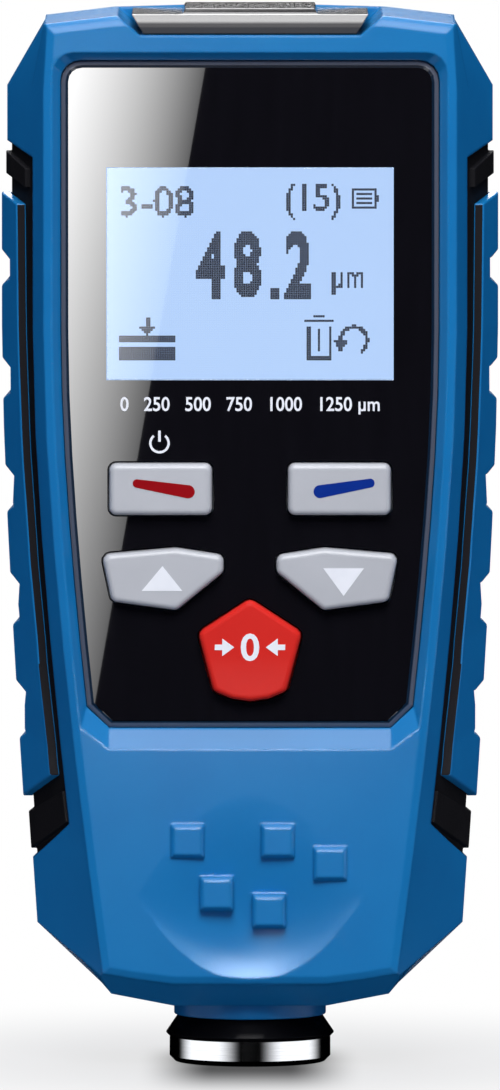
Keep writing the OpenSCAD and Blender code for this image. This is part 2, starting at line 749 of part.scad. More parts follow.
module door_tab(y1, z1) block(door_tab_x - door_tab_w / 2, door_tab_x + door_tab_w / 2, door_tab_y, y1,
    door_top_z - door_tab_root, z1);
module battery_door() color(case_blue) difference() {
    union() {
        slab(door_outline, door_y, rear_depth);
        both_sides() {
            door_tab(door_tab_y + door_tab_t, door_top_z + door_tab_h);
            door_tab(door_y + part_gap, door_top_z - door_tab_neck);
        }
    }
    post(0, door_screw_z, screw_shank_r + fit_gap, door_y - cut_over, rear_depth);
    post(0, door_screw_z, door_screw_head_r + part_gap, rear_depth - door_screw_head_h - door_screw_sink,
        rear_depth + cut_over);
    for (i = [0:door_rib_count - 1]) {
        z = bay_z + door_rib_rise + i * door_rib_pitch;
        rib = rounded(shifted(rectangle(door_rib_w, door_rib_h), 0, z), door_rib_r);
        slab(rib, rear_depth - door_rib_depth, rear_depth + cut_over);
    }
}

door_screw_y = rear_depth - door_screw_head_h - door_screw_sink;
module door_screw() color(steel) {
    post(0, door_screw_z, screw_shank_r, door_ledge_y - door_screw_l + door_screw_end_gap,
        door_screw_y + part_gap);
    difference() {
        post(0, door_screw_z, door_screw_head_r, door_screw_y, door_screw_y + door_screw_head_h);
        block(-cross_w / 2, cross_w / 2, door_screw_y + door_screw_head_h - door_screw_slot,
            rear_depth + cut_over, door_screw_z - 2 * door_screw_head_r, door_screw_z + 2 * door_screw_head_r);
    }
}

// A cell with its button end up or down.
cell_button_r = 1.9;
cell_button_h = 1;
module cell() {
    cylinder(d = cell_d, h = cell_l - cell_button_h);
    cylinder(r = cell_button_r, h = cell_l);
}
cell_low_z = bay_z + contact_t + bay_spring_h;
cell_high_z = bay_z + contact_t;
module left_cell() color("#d8d9dc") translate([-cell_x, cell_y, cell_low_z]) cell();
module right_cell() color("#d8d9dc")
    translate([cell_x, cell_y, cell_high_z + cell_l]) mirror([0, 0, 1]) cell();

contact_half = 3.3;
module battery_plates() color(steel) for (x = [-cell_x, cell_x], z = [bay_z, bay_top_z - contact_t])
    block(x - contact_half, x + contact_half, cell_y - contact_half, cell_y + contact_half, z, z + contact_t);

// A round wire wound into a coil.
function coil_point(r0, r1, h, turns, s) =
    let (r = r0 + (r1 - r0) * s, a = 360 * turns * s) [r * cos(a), r * sin(a), h * s];
module coil(r0, r1, h, turns, wire, sides = 6, steps = 12) {
    n = round(turns * steps);
    rings = [for (i = [0:n])
        let (s = i / n, a = 360 * turns * s, c = coil_point(r0, r1, h - 2 * wire, turns, s) + [0, 0, wire])
            for (k = [0:sides - 1])
                let (b = 360 * k / sides) c + wire * [cos(a) * cos(b), sin(a) * cos(b), sin(b)]];
    polyhedron(
        points = rings,
        faces = concat(
            [[for (k = [0:sides - 1]) k]],
            [[for (k = [sides - 1:-1:0]) n * sides + k]],
            [for (i = [0:n - 1], k = [0:sides - 1])
                let (a = i * sides + k, b = i * sides + (k + 1) % sides) [a, a + sides, b + sides]],
            [for (i = [0:n - 1], k = [0:sides - 1])
                let (a = i * sides + k, b = i * sides + (k + 1) % sides) [a, b + sides, b]]
        ),
        convexity = 8
    );
}
cell_spring_wire = 0.3;
cell_spring_foot_r = 2.9;
cell_spring_top_r = 1.6;
cell_spring_turns = 4;
module cell_spring()
    coil(cell_spring_foot_r, cell_spring_top_r, bay_spring_h, cell_spring_turns, cell_spring_wire);
module battery_springs() color(steel) {
    translate([-cell_x, cell_y, bay_z + contact_t]) cell_spring();
    translate([cell_x, cell_y, bay_top_z - contact_t]) mirror([0, 0, 1]) cell_spring();
}

socket_floor = 2;
socket_top_z = notch_floor_z - slide_gap;
module usb_socket() color(chrome) difference() {
    socket_z = socket_top_z - socket_h;
    block(-socket_w / 2, socket_w / 2, board_back_y, board_back_y + socket_d, socket_z, socket_top_z);
    block(socket_wall - socket_w / 2, socket_w / 2 - socket_wall, board_back_y + socket_wall,
        board_back_y + socket_d - socket_wall, socket_z + socket_floor, socket_top_z + cut_over);
}

// Soft cover that closes the port: a sloping front, a raised middle and a plug that reaches into the socket.
cover_front_y = -10.6;
cover_back_y = port_notch_back_y - slide_gap;
cover_x = 11.5;
cover_flare = 1.3;
cover_top_z = case_h;
cover_rise = 0.6;
cover_rise_x = 7.6;
cover_rise_flare = 0.6;
cover_rise_y = -6.5;
cover_slope = 1.25;
cover_slope_run = 1.8;
cover_plug_gap = 0.25;
cover_plug_h = 3.4;
cover_floor_z = notch_floor_z + part_gap;
module port_cover() color(inlay_black) {
    top_x = cover_x + cover_flare;
    foot = [[cover_x, cover_floor_z], [-cover_x, cover_floor_z]];
    face = concat([[-top_x, cover_top_z], [top_x, cover_top_z]], foot);
    lowered_z = cover_top_z - cover_slope;
    lowered_x = cover_x + cover_flare * (lowered_z - cover_floor_z) / (cover_top_z - cover_floor_z);
    lowered = concat([[-lowered_x, lowered_z], [lowered_x, lowered_z]], foot);
    loft([[cover_front_y, lowered], [cover_front_y + cover_slope_run, face], [cover_back_y, face]]);
    rise_x = cover_rise_x - cover_rise_flare;
    slab([[-rise_x, cover_top_z + cover_rise], [rise_x, cover_top_z + cover_rise],
        [cover_rise_x, cover_top_z - cover_rise], [-cover_rise_x, cover_top_z - cover_rise]],
        cover_rise_y, cover_back_y);
    plug_x = socket_w / 2 - socket_wall - cover_plug_gap;
    plug_y = socket_d / 2 - socket_wall - cover_plug_gap;
    block(-plug_x, plug_x, socket_y - plug_y, socket_y + plug_y, notch_floor_z - cover_plug_h,
        cover_floor_z + part_gap);
}

module probe_holder() color(case_blue) difference() {
    union() {
        translate([0, 0, neck_z]) cylinder(d = neck_d, h = neck_top_z - neck_z + part_gap);
        translate([0, 0, neck_top_z]) cylinder(d = probe_flange_d, h = probe_flange_h);
        translate([0, 0, neck_top_z]) cylinder(d = probe_barrel_d, h = probe_barrel_z - neck_top_z);
    }
    cylinder(d = sleeve_tube_d + 2 * fit_gap, h = sleeve_tube_z + part_gap);
    cylinder(d = probe_bore_d, h = probe_barrel_z + cut_over);
}

collar_top_d = 15.6;
collar_rim_d = 18.3;
collar_rim_h = 0.4;
module probe_collar() color(inlay_black) translate([0, 0, foot_h]) difference() {
    union() {
        cylinder(d1 = foot_d, d2 = collar_rim_d, h = collar_rim_h);
        translate([0, 0, collar_rim_h])
            cylinder(d1 = collar_rim_d, d2 = collar_top_d, h = collar_h - collar_rim_h);
    }
    translate([0, 0, -cut_over]) cylinder(d = sleeve_tube_d + 2 * fit_gap, h = collar_h + 2 * cut_over);
}

// Chrome foot with a groove across it for tubes and rods.
module probe_sleeve() color(chrome) difference() {
    union() {
        cylinder(d1 = foot_d - 2 * foot_chamfer, d2 = foot_d, h = foot_chamfer);
        translate([0, 0, foot_chamfer]) cylinder(d = foot_d, h = foot_h - foot_chamfer);
        cylinder(d = sleeve_tube_d, h = sleeve_tube_z);
    }
    translate([0, 0, -cut_over]) cylinder(d = tip_d + 2 * fit_gap, h = sleeve_tube_z + 2 * cut_over);
    rotate([90, 0, 90]) linear_extrude(2 * foot_d, center = true)
        polygon([[-foot_groove - cut_over, -cut_over], [0, foot_groove],
            [foot_groove + cut_over, -cut_over]]);
}

// Measuring tip: a rod with a rounded end that slides in the foot.
module probe_tip() color(steel) translate([0, 0, tip_lift]) rotate_extrude() {
    r = tip_d / 2;
    dome_r = (r * r + tip_nose * tip_nose) / (2 * tip_nose);
    intersection() {
        translate([0, dome_r]) circle(dome_r);
        square([r, tip_nose]);
    }
    translate([0, tip_nose]) square([r, bobbin_top_z - tip_nose - tip_lift]);
}

module probe_bobbin() color(inlay_black) difference() {
    union() {
        translate([0, 0, bobbin_z]) cylinder(r = bobbin_r, h = bobbin_flange_t);
        translate([0, 0, bobbin_z]) cylinder(d = tip_d + 2 * bobbin_wall, h = bobbin_top_z - bobbin_z);
        translate([0, 0, bobbin_top_z - bobbin_flange_t]) cylinder(r = bobbin_r, h = bobbin_flange_t);
    }
    cylinder(d = tip_d, h = bobbin_top_z + cut_over);
}

module probe_winding() color(copper) difference() {
    translate([0, 0, bobbin_z + bobbin_flange_t])
        cylinder(r = winding_r, h = bobbin_top_z - bobbin_z - 2 * bobbin_flange_t);
    cylinder(d = tip_d + 2 * bobbin_wall, h = bobbin_top_z + cut_over);
}

module probe_spring() color(steel) translate([0, 0, bobbin_top_z])
    coil(probe_spring_r, probe_spring_r, probe_spring_h, probe_spring_turns, probe_spring_wire);

// Cap that closes the probe's barrel and holds the spring down.
lead_x = 2;
lead_d = 1.8;
lead_seat = 0.6;
module probe_cap() color(inlay_black) difference() {
    union() {
        translate([0, 0, probe_barrel_z]) cylinder(d = probe_barrel_d, h = cap_t);
        translate([0, 0, probe_barrel_z - cap_plug_h])
            cylinder(d = probe_bore_d - 2 * fit_gap, h = cap_plug_h + part_gap);
    }
    translate([lead_x, 0, probe_barrel_z + cap_t - lead_seat])
        cylinder(d = lead_d + 2 * fit_gap, h = 2 * cap_t);
}

// Lead from the probe up to its plug on the board.
plug_w = 6;
plug_h = 4;
plug_d = 2.8;
plug_edge = 0.5;
plug_z = board_foot_z + plug_edge;
plug_y = board_back_y + plug_d / 2;
lead_foot_z = probe_barrel_z + cap_t - lead_seat;
// Points on the lead's way: its share of the rise, then its share of the way forward.
lead_way = [[0, 0], [0.16, 0], [0.3, 0.1], [0.5, 0.4], [0.7, 0.82], [0.86, 1], [1, 1]];
lead_route = [for (w = lead_way) [lead_x, plug_y * w[1], lead_foot_z + (plug_z - lead_foot_z) * w[0]]];
module probe_lead() color("#33333a") {
    sides = 8;
    n = len(lead_route);
    polyhedron(
        points = [for (i = [0:n - 1])
            let (d = unit(lead_route[min(i + 1, n - 1)] - lead_route[max(i - 1, 0)]))
            let (v = [1, 0, 0], w = cross(d, v))
                for (k = [0:sides - 1])
                    lead_route[i] + lead_d / 2 * (v * cos(360 * k / sides) + w * sin(360 * k / sides))],
        faces = concat(
            [[for (k = [sides - 1:-1:0]) k]],
            [[for (k = [0:sides - 1]) (n - 1) * sides + k]],
            [for (i = [0:n - 2], k = [0:sides - 1])
                let (a = i * sides + k, b = i * sides + (k + 1) % sides) [a, b, b + sides, a + sides]]
        ),
        convexity = 4
    );
}
module probe_plug() color("#e8e4d8")
    block(lead_x - plug_w / 2, lead_x + plug_w / 2, board_back_y, board_back_y + plug_d,
        plug_z, plug_z + plug_h);

buzzer_r = 4.5;
buzzer_h = 1.9;
buzzer_hole_r = 0.8;
buzzer_floor = 1.2;
buzzer_x = -10.6;
buzzer_z = up(50.5);
module buzzer() color(inlay_black) difference() {
    post(buzzer_x, buzzer_z, buzzer_r, board_back_y, board_back_y + buzzer_h);
    post(buzzer_x, buzzer_z, buzzer_hole_r, board_back_y + buzzer_floor, board_back_y + buzzer_h + cut_over);
}

front_shell();
rear_shell();
left_side_inlay();
right_side_inlay();
left_grip_bar();
right_grip_bar();
front_panel();
display_lens();
lcd_glass();
lcd_backlight();
main_board();
board_screws();
key_switches();
left_soft_key();
right_soft_key();
up_key();
down_key();
zero_key();
case_screws();
battery_door();
door_screw();
left_cell();
right_cell();
battery_plates();
battery_springs();
usb_socket();
port_cover();
probe_holder();
probe_collar();
probe_sleeve();
probe_tip();
probe_bobbin();
probe_winding();
probe_spring();
probe_cap();
probe_lead();
probe_plug();
buzzer();
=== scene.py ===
# %% [markdown]
# # A pocket coating thickness gauge
# The gauge stands on its measuring probe: a blue moulded case with black grips, a gloss black panel,
# a lit display, five keys and a chrome foot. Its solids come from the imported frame, already in place
# and to size, so this lesson gives them finishes and adds what is printed or shown on them.

# %% Load the frame
import math

import bmesh
import bpy
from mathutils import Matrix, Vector


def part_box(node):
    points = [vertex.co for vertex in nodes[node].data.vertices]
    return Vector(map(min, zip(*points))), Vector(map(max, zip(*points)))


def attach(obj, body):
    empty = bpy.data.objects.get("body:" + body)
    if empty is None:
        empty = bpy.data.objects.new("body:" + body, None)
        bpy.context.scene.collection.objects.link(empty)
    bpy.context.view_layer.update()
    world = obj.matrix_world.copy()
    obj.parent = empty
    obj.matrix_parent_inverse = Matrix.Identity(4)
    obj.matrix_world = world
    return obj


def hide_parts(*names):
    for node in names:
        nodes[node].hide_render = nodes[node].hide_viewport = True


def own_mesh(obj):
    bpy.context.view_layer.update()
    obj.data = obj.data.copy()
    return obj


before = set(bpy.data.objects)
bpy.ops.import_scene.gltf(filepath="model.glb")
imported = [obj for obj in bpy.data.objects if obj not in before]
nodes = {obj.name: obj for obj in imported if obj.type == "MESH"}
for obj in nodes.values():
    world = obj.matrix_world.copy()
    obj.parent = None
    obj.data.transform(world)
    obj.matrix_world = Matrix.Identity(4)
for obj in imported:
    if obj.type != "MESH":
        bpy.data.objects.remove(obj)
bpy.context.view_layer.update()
MM = 0.001

# %% [markdown]
# ## Camera
# The photograph looks straight at the front from slightly above, with a long lens, so the sides hardly
# converge. The camera stands well back and its lens follows from the height that fills the picture.

# %% Camera
VIEW_HEIGHT = 118.3 * MM
VIEW_CENTRE = Vector((0, 0, 56.1 * MM))
VIEW_ELEVATION = math.radians(4)
VIEW_DISTANCE = 2300 * MM
SENSOR = 36.0
CLIP_NEAR, CLIP_FAR = 0.01, 20
scene = bpy.context.scene

camera = bpy.data.objects.new("camera", bpy.data.cameras.new("camera"))
scene.collection.objects.link(camera)
camera.data.sensor_width = SENSOR
camera.data.lens = SENSOR * VIEW_DISTANCE / VIEW_HEIGHT
camera_back = Vector((0, -math.cos(VIEW_ELEVATION), math.sin(VIEW_ELEVATION)))
camera.location = VIEW_CENTRE + camera_back * VIEW_DISTANCE
camera.rotation_euler = (-camera_back).to_track_quat("-Z", "Y").to_euler()
camera.data.clip_start, camera.data.clip_end = CLIP_NEAR, CLIP_FAR
scene.camera = camera
print("lens:", round(camera.data.lens, 1), "mm")

# %% [markdown]
# ## Helpers for node trees
# Every material and every geometry tree is made of nodes. One function adds a node, sets its options
# and fills its sockets, either with a value or with a link from another node. Colours are written as
# the hex values that a screen shows, and turned to the linear values that the renderer adds up.
# A Mix node has one set of sockets for each kind of value, so it is filled by number: 0 is the share,
# 2 and 3 are plain values with result 0, and 6 and 7 are colours with result 2.

# %% Node helper and colours
def add(tree, kind, sockets=None, **settings):
    node = tree.nodes.new(kind)
    for name, value in settings.items():
        setattr(node, name, value)
    for key, value in (sockets or {}).items():
        if isinstance(value, bpy.types.NodeSocket):
            tree.links.new(value, node.inputs[key])
        else:
            node.inputs[key].default_value = value
    return node


def linear(hex_colour):
    parts = [int(hex_colour[i:i + 2], 16) / 255 for i in (1, 3, 5)]
    return tuple(c / 12.92 if c <= 0.04045 else ((c + 0.055) / 1.055) ** 2.4 for c in parts) + (1.0,)


def new_tree(name):
    material = bpy.data.materials.new(name)
    material.use_nodes = True
    material.node_tree.nodes.clear()
    return material, material.node_tree


WHITE = linear("#ffffff")
print("linear mid grey:", [round(c, 3) for c in linear("#808080")])

# %% [markdown]
# ## Floor, background and light
# The object stands on a pale table that runs out to white. Round the foot the table is a matt surface
# that takes the shadow, and further out it turns to plain white for the rays that the eye follows:
# those that go straight, are mirrored or pass through glass. Scattered light finds a dim blue room
# instead, so that the shaded sides stay deep. A broad soft box in front and above lights the face, one
# above lights the top, one behind lights the rear, and two thin strips lift the sides a little.

# %% World
FILL_LIGHT = "#4c6088"


def followed_rays(tree):
    path = add(tree, "ShaderNodeLightPath").outputs
    seen = add(tree, "ShaderNodeMath", {0: path["Is Camera Ray"], 1: path["Is Glossy Ray"]},
               operation="MAXIMUM")
    return add(tree, "ShaderNodeMath", {0: seen.outputs[0], 1: path["Is Transmission Ray"]},
               operation="MAXIMUM")


scene.view_settings.view_transform = "Standard"
world = bpy.data.worlds.new("white_room")
scene.world = world
world.use_nodes = True
tree = world.node_tree
tree.nodes.clear()
seen = followed_rays(tree)
level = add(tree, "ShaderNodeMix", {0: seen.outputs[0], 6: linear(FILL_LIGHT), 7: WHITE}, data_type="RGBA")
room = add(tree, "ShaderNodeBackground", {"Color": level.outputs[2], "Strength": 1.0})
add(tree, "ShaderNodeOutputWorld", {"Surface": room.outputs[0]})
print("world", world.name, "with fill light", FILL_LIGHT)

# %% Floor paint
FLOOR_NEAR, FLOOR_FAR, FLOOR_WHITE = 15 * MM, 75 * MM, 0.75
floor_paint, tree = new_tree("matt_table_paint")
seen = followed_rays(tree)
place = add(tree, "ShaderNodeTexCoord")
from_foot = add(tree, "ShaderNodeVectorMath", {0: place.outputs["Object"]}, operation="LENGTH")
away = add(tree, "ShaderNodeMapRange", {"Value": from_foot.outputs["Value"], "From Min": FLOOR_NEAR,
           "From Max": FLOOR_FAR, "To Min": FLOOR_WHITE}, interpolation_type="SMOOTHSTEP")
white_share = add(tree, "ShaderNodeMath", {0: away.outputs[0], 1: seen.outputs[0]}, operation="MULTIPLY")
paint = add(tree, "ShaderNodeBsdfDiffuse", {"Color": linear("#88888b")})
white = add(tree, "ShaderNodeEmission", {"Color": WHITE, "Strength": 1.0})
matt = add(tree, "ShaderNodeMixShader", {0: white_share.outputs[0], 1: paint.outputs[0], 2: white.outputs[0]})
print("floor paint is white from", round(FLOOR_FAR / MM), "mm off the foot")

# %% Shadow patch
# A soft dark patch stands for the shadow that the foot throws forwards under the light from behind.
SHADE_WIDE, SHADE_FULL, SHADE_DEPTH = 12.5 * MM, 4 * MM, 0.89
SHADE_END, SHADE_START, SHADE_BACK = -42 * MM, -10 * MM, 20 * MM
split = add(tree, "ShaderNodeSeparateXYZ", {0: place.outputs["Object"]})
aside = add(tree, "ShaderNodeMath", {0: split.outputs["X"]}, operation="ABSOLUTE")
across = add(tree, "ShaderNodeMapRange", {"Value": aside.outputs[0], "From Min": SHADE_WIDE,
             "From Max": SHADE_FULL, "To Max": SHADE_DEPTH}, interpolation_type="SMOOTHSTEP")
forwards = add(tree, "ShaderNodeMapRange", {"Value": split.outputs["Y"], "From Min": SHADE_END,
               "From Max": SHADE_START}, interpolation_type="SMOOTHSTEP")
backwards = add(tree, "ShaderNodeMapRange", {"Value": split.outputs["Y"], "From Min": SHADE_BACK,
                "From Max": 0.0}, interpolation_type="SMOOTHSTEP")
along = add(tree, "ShaderNodeMath", {0: forwards.outputs[0], 1: backwards.outputs[0]}, operation="MULTIPLY")
shade = add(tree, "ShaderNodeMath", {0: across.outputs[0], 1: along.outputs[0]}, operation="MULTIPLY")
shade = add(tree, "ShaderNodeMath", {0: shade.outputs[0], 1: seen.outputs[0]}, operation="MULTIPLY")
dark = add(tree, "ShaderNodeBsdfDiffuse", {"Color": linear("#08080a")})
mixed = add(tree, "ShaderNodeMixShader", {0: shade.outputs[0], 1: matt.outputs[0], 2: dark.outputs[0]})
add(tree, "ShaderNodeOutputMaterial", {"Surface": mixed.outputs[0]})
print("shadow patch reaches", round(-SHADE_END / MM), "mm forwards")

# %% Floor
FLOOR_HALF_MM = 3000


def sheet(name, points_mm, material, faces=None):
    mesh = bpy.data.meshes.new(name)
    mesh.from_pydata([[c * MM for c in point] for point in points_mm], [], faces or [range(len(points_mm))])
    mesh.materials.append(material)
    card = bpy.data.objects.new(name, mesh)
    scene.collection.objects.link(card)
    return card


def square(half, height):
    return [(-half, -half, height), (half, -half, height), (half, half, height), (-half, half, height)]


floor = sheet("floor", square(FLOOR_HALF_MM, 0), floor_paint)
floor.visible_glossy = False
print("floor half side:", FLOOR_HALF_MM, "mm")

# %% Lights
MIDDLE, TOP = (0, 0, 60), (0, 0, 100)
BOX_SIZE, TOP_SIZE, STRIP_SIZE = (520, 380), (320, 320), (60, 420)


def soft_box(name, place_mm, aim_mm, size_mm, radiance):
    area = size_mm[0] * size_mm[1] * MM * MM
    lamp = bpy.data.lights.new(name, "AREA")
    lamp.shape, lamp.size, lamp.size_y = "RECTANGLE", size_mm[0] * MM, size_mm[1] * MM
    lamp.energy = radiance * math.pi * area
    stand = bpy.data.objects.new(name, lamp)
    stand.location = Vector(place_mm) * MM
    stand.rotation_euler = (Vector(aim_mm) - Vector(place_mm)).to_track_quat("-Z", "Y").to_euler()
    scene.collection.objects.link(stand)
    print(name, "at", place_mm, "watts", round(lamp.energy, 2))


soft_box("key_box", (40, -600, 660), MIDDLE, BOX_SIZE, radiance=12.0)
soft_box("top_box", (0, 20, 700), TOP, TOP_SIZE, radiance=5.0)
soft_box("rear_box", (-60, 640, 420), MIDDLE, BOX_SIZE, radiance=7.0)
for side, name in ((-1, "left_strip"), (1, "right_strip")):
    soft_box(name, (side * 420, -170, 130), MIDDLE, STRIP_SIZE, radiance=0.25)

# %% [markdown]
# ## Cards for reflections
# A gloss surface shows what it mirrors. Studios hold cards round the object for that, and so does this
# scene: the cards show only to mirrored rays, so they are not seen and light nothing else. More lamps
# would do as well, but they would also light the matt surfaces. Dark felts keep the panel black and the
# sides deep blue, and lit cards draw the sheen on the panel, the bright bands and the gleam of the chrome.

# %% Card helpers
HIDDEN_FROM = ("camera", "diffuse", "transmission", "volume_scatter", "shadow")


def reflection_card(name, points_mm, material, faces=None):
    card = sheet(name, points_mm, material, faces)
    for ray in HIDDEN_FROM:
        setattr(card, "visible_" + ray, False)
    print(name, "shows only in reflections")


def upright(half_width, y, low, high):
    return [(-half_width, y, low), (half_width, y, low), (half_width, y, high), (-half_width, y, high)]


def facing_down(half_width, front, back, height):
    return [(-half_width, front, height), (-half_width, back, height),
            (half_width, back, height), (half_width, front, height)]


print("cards are hidden from rays of", ", ".join(HIDDEN_FROM))

# %% Sheen card
# The sheen on the panel has a straight slanted edge and grows brighter away from it and upwards.
SHEEN_Y, SHEEN_LOW, SHEEN_HIGH, SHEEN_LEFT = -300, 10, 100, -40
SHEEN_EDGE, SHEEN_LEAN, SHEEN_FADE = -21.9, 0.1735, 25
GLOW_AT_EDGE, GLOW_LOW, GLOW_HIGH = 1.5, 12.0, 21.0
sheen_light, tree = new_tree("lit_sheen_card")
place = add(tree, "ShaderNodeTexCoord")
split = add(tree, "ShaderNodeSeparateXYZ", {0: place.outputs["Object"]})
edge = add(tree, "ShaderNodeMath", {0: split.outputs["Z"], 1: SHEEN_LEAN, 2: SHEEN_EDGE * MM},
           operation="MULTIPLY_ADD")
inside = add(tree, "ShaderNodeMath", {0: edge.outputs[0], 1: split.outputs["X"]}, operation="SUBTRACT")
rise = add(tree, "ShaderNodeMapRange", {"Value": split.outputs["Z"], "From Min": SHEEN_LOW * MM,
           "From Max": SHEEN_HIGH * MM, "To Min": GLOW_LOW, "To Max": GLOW_HIGH})
glow = add(tree, "ShaderNodeMapRange", {"Value": inside.outputs[0], "From Max": SHEEN_FADE * MM,
           "To Min": GLOW_AT_EDGE, "To Max": rise.outputs[0]})
light = add(tree, "ShaderNodeEmission", {"Strength": glow.outputs[0]})
add(tree, "ShaderNodeOutputMaterial", {"Surface": light.outputs[0]})
reflection_card("sheen_card", [(SHEEN_LEFT, SHEEN_Y, SHEEN_LOW),
                               (SHEEN_EDGE + SHEEN_LEAN * SHEEN_LOW, SHEEN_Y, SHEEN_LOW),
                               (SHEEN_EDGE + SHEEN_LEAN * SHEEN_HIGH, SHEEN_Y, SHEEN_HIGH),
                               (SHEEN_LEFT, SHEEN_Y, SHEEN_HIGH)], sheen_light)

# %% Even cards
EDGE_CARD_X = 255


def even_light(name, strength):
    material, tree = new_tree(name)
    light = add(tree, "ShaderNodeEmission", {"Strength": strength})
    add(tree, "ShaderNodeOutputMaterial", {"Surface": light.outputs[0]})
    return material


# The card overhead draws the light band on the top cover and on the sill below the panel.
reflection_card("top_card", facing_down(half_width=220, front=-200, back=280, height=560),
                even_light("lit_top_card", 4.5))
# The card low on the right is mirrored by the edges along the lower right flank.
reflection_card("edge_card", [(EDGE_CARD_X, -60, 0.5), (EDGE_CARD_X, 15, 0.5), (EDGE_CARD_X, 15, 45),
                              (EDGE_CARD_X, -60, 45)], even_light("lit_edge_card", 6.0))
# The card high in front is mirrored by the faces that lean back a little.
reflection_card("brow_card", upright(half_width=160, y=-310, low=230, high=400),
                even_light("lit_brow_card", 10.0))

# %% Dish card
# The card over the thumb dish shines down only and is brightest at its near end: there the steepest
# part of the dish, along its lower edge, mirrors it.
DISH_CARD_NEAR, DISH_CARD_FAR, DISH_CARD_Z, DISH_CARD_HALF = -44, -122, 45, 17
DISH_GLOW_FAR, DISH_GLOW_NEAR = 4.0, 50.0
dish_light, tree = new_tree("lit_dish_card")
place = add(tree, "ShaderNodeTexCoord")
split = add(tree, "ShaderNodeSeparateXYZ", {0: place.outputs["Object"]})
glow = add(tree, "ShaderNodeMapRange", {"Value": split.outputs["Y"], "From Min": DISH_CARD_FAR * MM,
           "From Max": 0.5 * (DISH_CARD_NEAR + DISH_CARD_FAR) * MM, "To Min": DISH_GLOW_FAR,
           "To Max": DISH_GLOW_NEAR})
light = add(tree, "ShaderNodeEmission", {"Strength": glow.outputs[0]})
clear = add(tree, "ShaderNodeBsdfTransparent")
turned = add(tree, "ShaderNodeNewGeometry")
one_way = add(tree, "ShaderNodeMixShader", {0: turned.outputs["Backfacing"], 1: light.outputs[0],
              2: clear.outputs[0]})
add(tree, "ShaderNodeOutputMaterial", {"Surface": one_way.outputs[0]})
reflection_card("dish_card", facing_down(DISH_CARD_HALF, DISH_CARD_FAR, DISH_CARD_NEAR, DISH_CARD_Z),
                dish_light)

# %% Foot lights
# On each side of the foot a curved card fades at both ends, so that the chrome turns softly from dark to
# light. The chrome mirrors what lies below the table top, so the table lets mirrored rays through to the
# cards. Angles are in degrees from straight ahead.
FOOT_RING, FOOT_RING_LOW, FOOT_RING_HIGH = 60, -40, 1
FOOT_START, FOOT_END = 10, 118
DAWN_START, DAWN_END, DUSK_START, DUSK_END = 12, 46, 84, 116
FOOT_GLOW = 1.5
foot_light, tree = new_tree("lit_foot_card")
place = add(tree, "ShaderNodeTexCoord")
split = add(tree, "ShaderNodeSeparateXYZ", {0: place.outputs["Object"]})
ahead = add(tree, "ShaderNodeMath", {0: split.outputs["Y"], 1: -1.0}, operation="MULTIPLY")
turn = add(tree, "ShaderNodeMath", {0: split.outputs["X"], 1: ahead.outputs[0]}, operation="ARCTAN2")
turn = add(tree, "ShaderNodeMath", {0: turn.outputs[0]}, operation="ABSOLUTE")
dawn = add(tree, "ShaderNodeMapRange", {"Value": turn.outputs[0], "From Min": math.radians(DAWN_START),
           "From Max": math.radians(DAWN_END)}, interpolation_type="SMOOTHSTEP")
dusk = add(tree, "ShaderNodeMapRange", {"Value": turn.outputs[0], "From Min": math.radians(DUSK_END),
           "From Max": math.radians(DUSK_START), "To Max": FOOT_GLOW}, interpolation_type="SMOOTHSTEP")
glow = add(tree, "ShaderNodeMath", {0: dawn.outputs[0], 1: dusk.outputs[0]}, operation="MULTIPLY")
light = add(tree, "ShaderNodeEmission", {"Strength": glow.outputs[0]})
add(tree, "ShaderNodeOutputMaterial", {"Surface": light.outputs[0]})


def foot_ring(name, start_deg, end_deg, steps=24):
    turns = [math.radians(start_deg + (end_deg - start_deg) * i / steps) for i in range(steps + 1)]
    points = [(FOOT_RING * math.sin(a), -FOOT_RING * math.cos(a), z)
              for z in (FOOT_RING_LOW, FOOT_RING_HIGH) for a in turns]
    faces = [(i, i + 1, steps + 2 + i, steps + 1 + i) for i in range(steps)]
    reflection_card(name, points, foot_light, faces)


foot_ring("left_foot_light", -FOOT_END, -FOOT_START)
foot_ring("right_foot_light", FOOT_START, FOOT_END)

# %% Felts
FELT_LOW = -45
SIDE_FELT_X, SIDE_FELT_Y, SIDE_FELT_HIGH = (300, 60), (-90, 430), 600
dark_felt, tree = new_tree("black_felt")
felt = add(tree, "ShaderNodeBsdfDiffuse", {"Color": linear("#050505")})
add(tree, "ShaderNodeOutputMaterial", {"Surface": felt.outputs[0]})
reflection_card("front_felt", upright(half_width=330, y=-310, low=FELT_LOW, high=112), dark_felt)
reflection_card("rear_felt", upright(half_width=70, y=430, low=90, high=240), dark_felt)
reflection_card("floor_felt", square(400, FELT_LOW), dark_felt)
for side, name in ((-1, "left_felt"), (1, "right_felt")):
    front, back = [(side * x, y) for x, y in zip(SIDE_FELT_X, SIDE_FELT_Y)]
    reflection_card(name, [(*front, FELT_LOW), (*back, FELT_LOW), (*back, SIDE_FELT_HIGH),
                           (*front, SIDE_FELT_HIGH)], dark_felt)

# %% [markdown]
# ## Moulded finishes
# Nearly everything on the gauge is moulded, and a moulded surface shows three things: a colour that is
# not quite even over a few millimetres, a fine grain that the tool left, and a gloss that varies with
# that grain. A photograph of each would do, but drawn patterns on Object coordinates need no image and
# follow the real size. One function makes this family, and each call below is one real material. It can
# also round edges in the shading, colour the sides that face front and back, and keep a lower edge matt.

# %% Moulded family
GRAIN_STRENGTH, EDGE_SAMPLES = 0.4, 6
SIDE_FACING, SIDE_ROUGH = 0.95, 0.9
POLISH_BAND, POLISH_COAT_ROUGH, MATT_ROUGH = 0.15, 0.12, 0.85


def per_mm(size_mm):
    return 1 / (size_mm * MM)


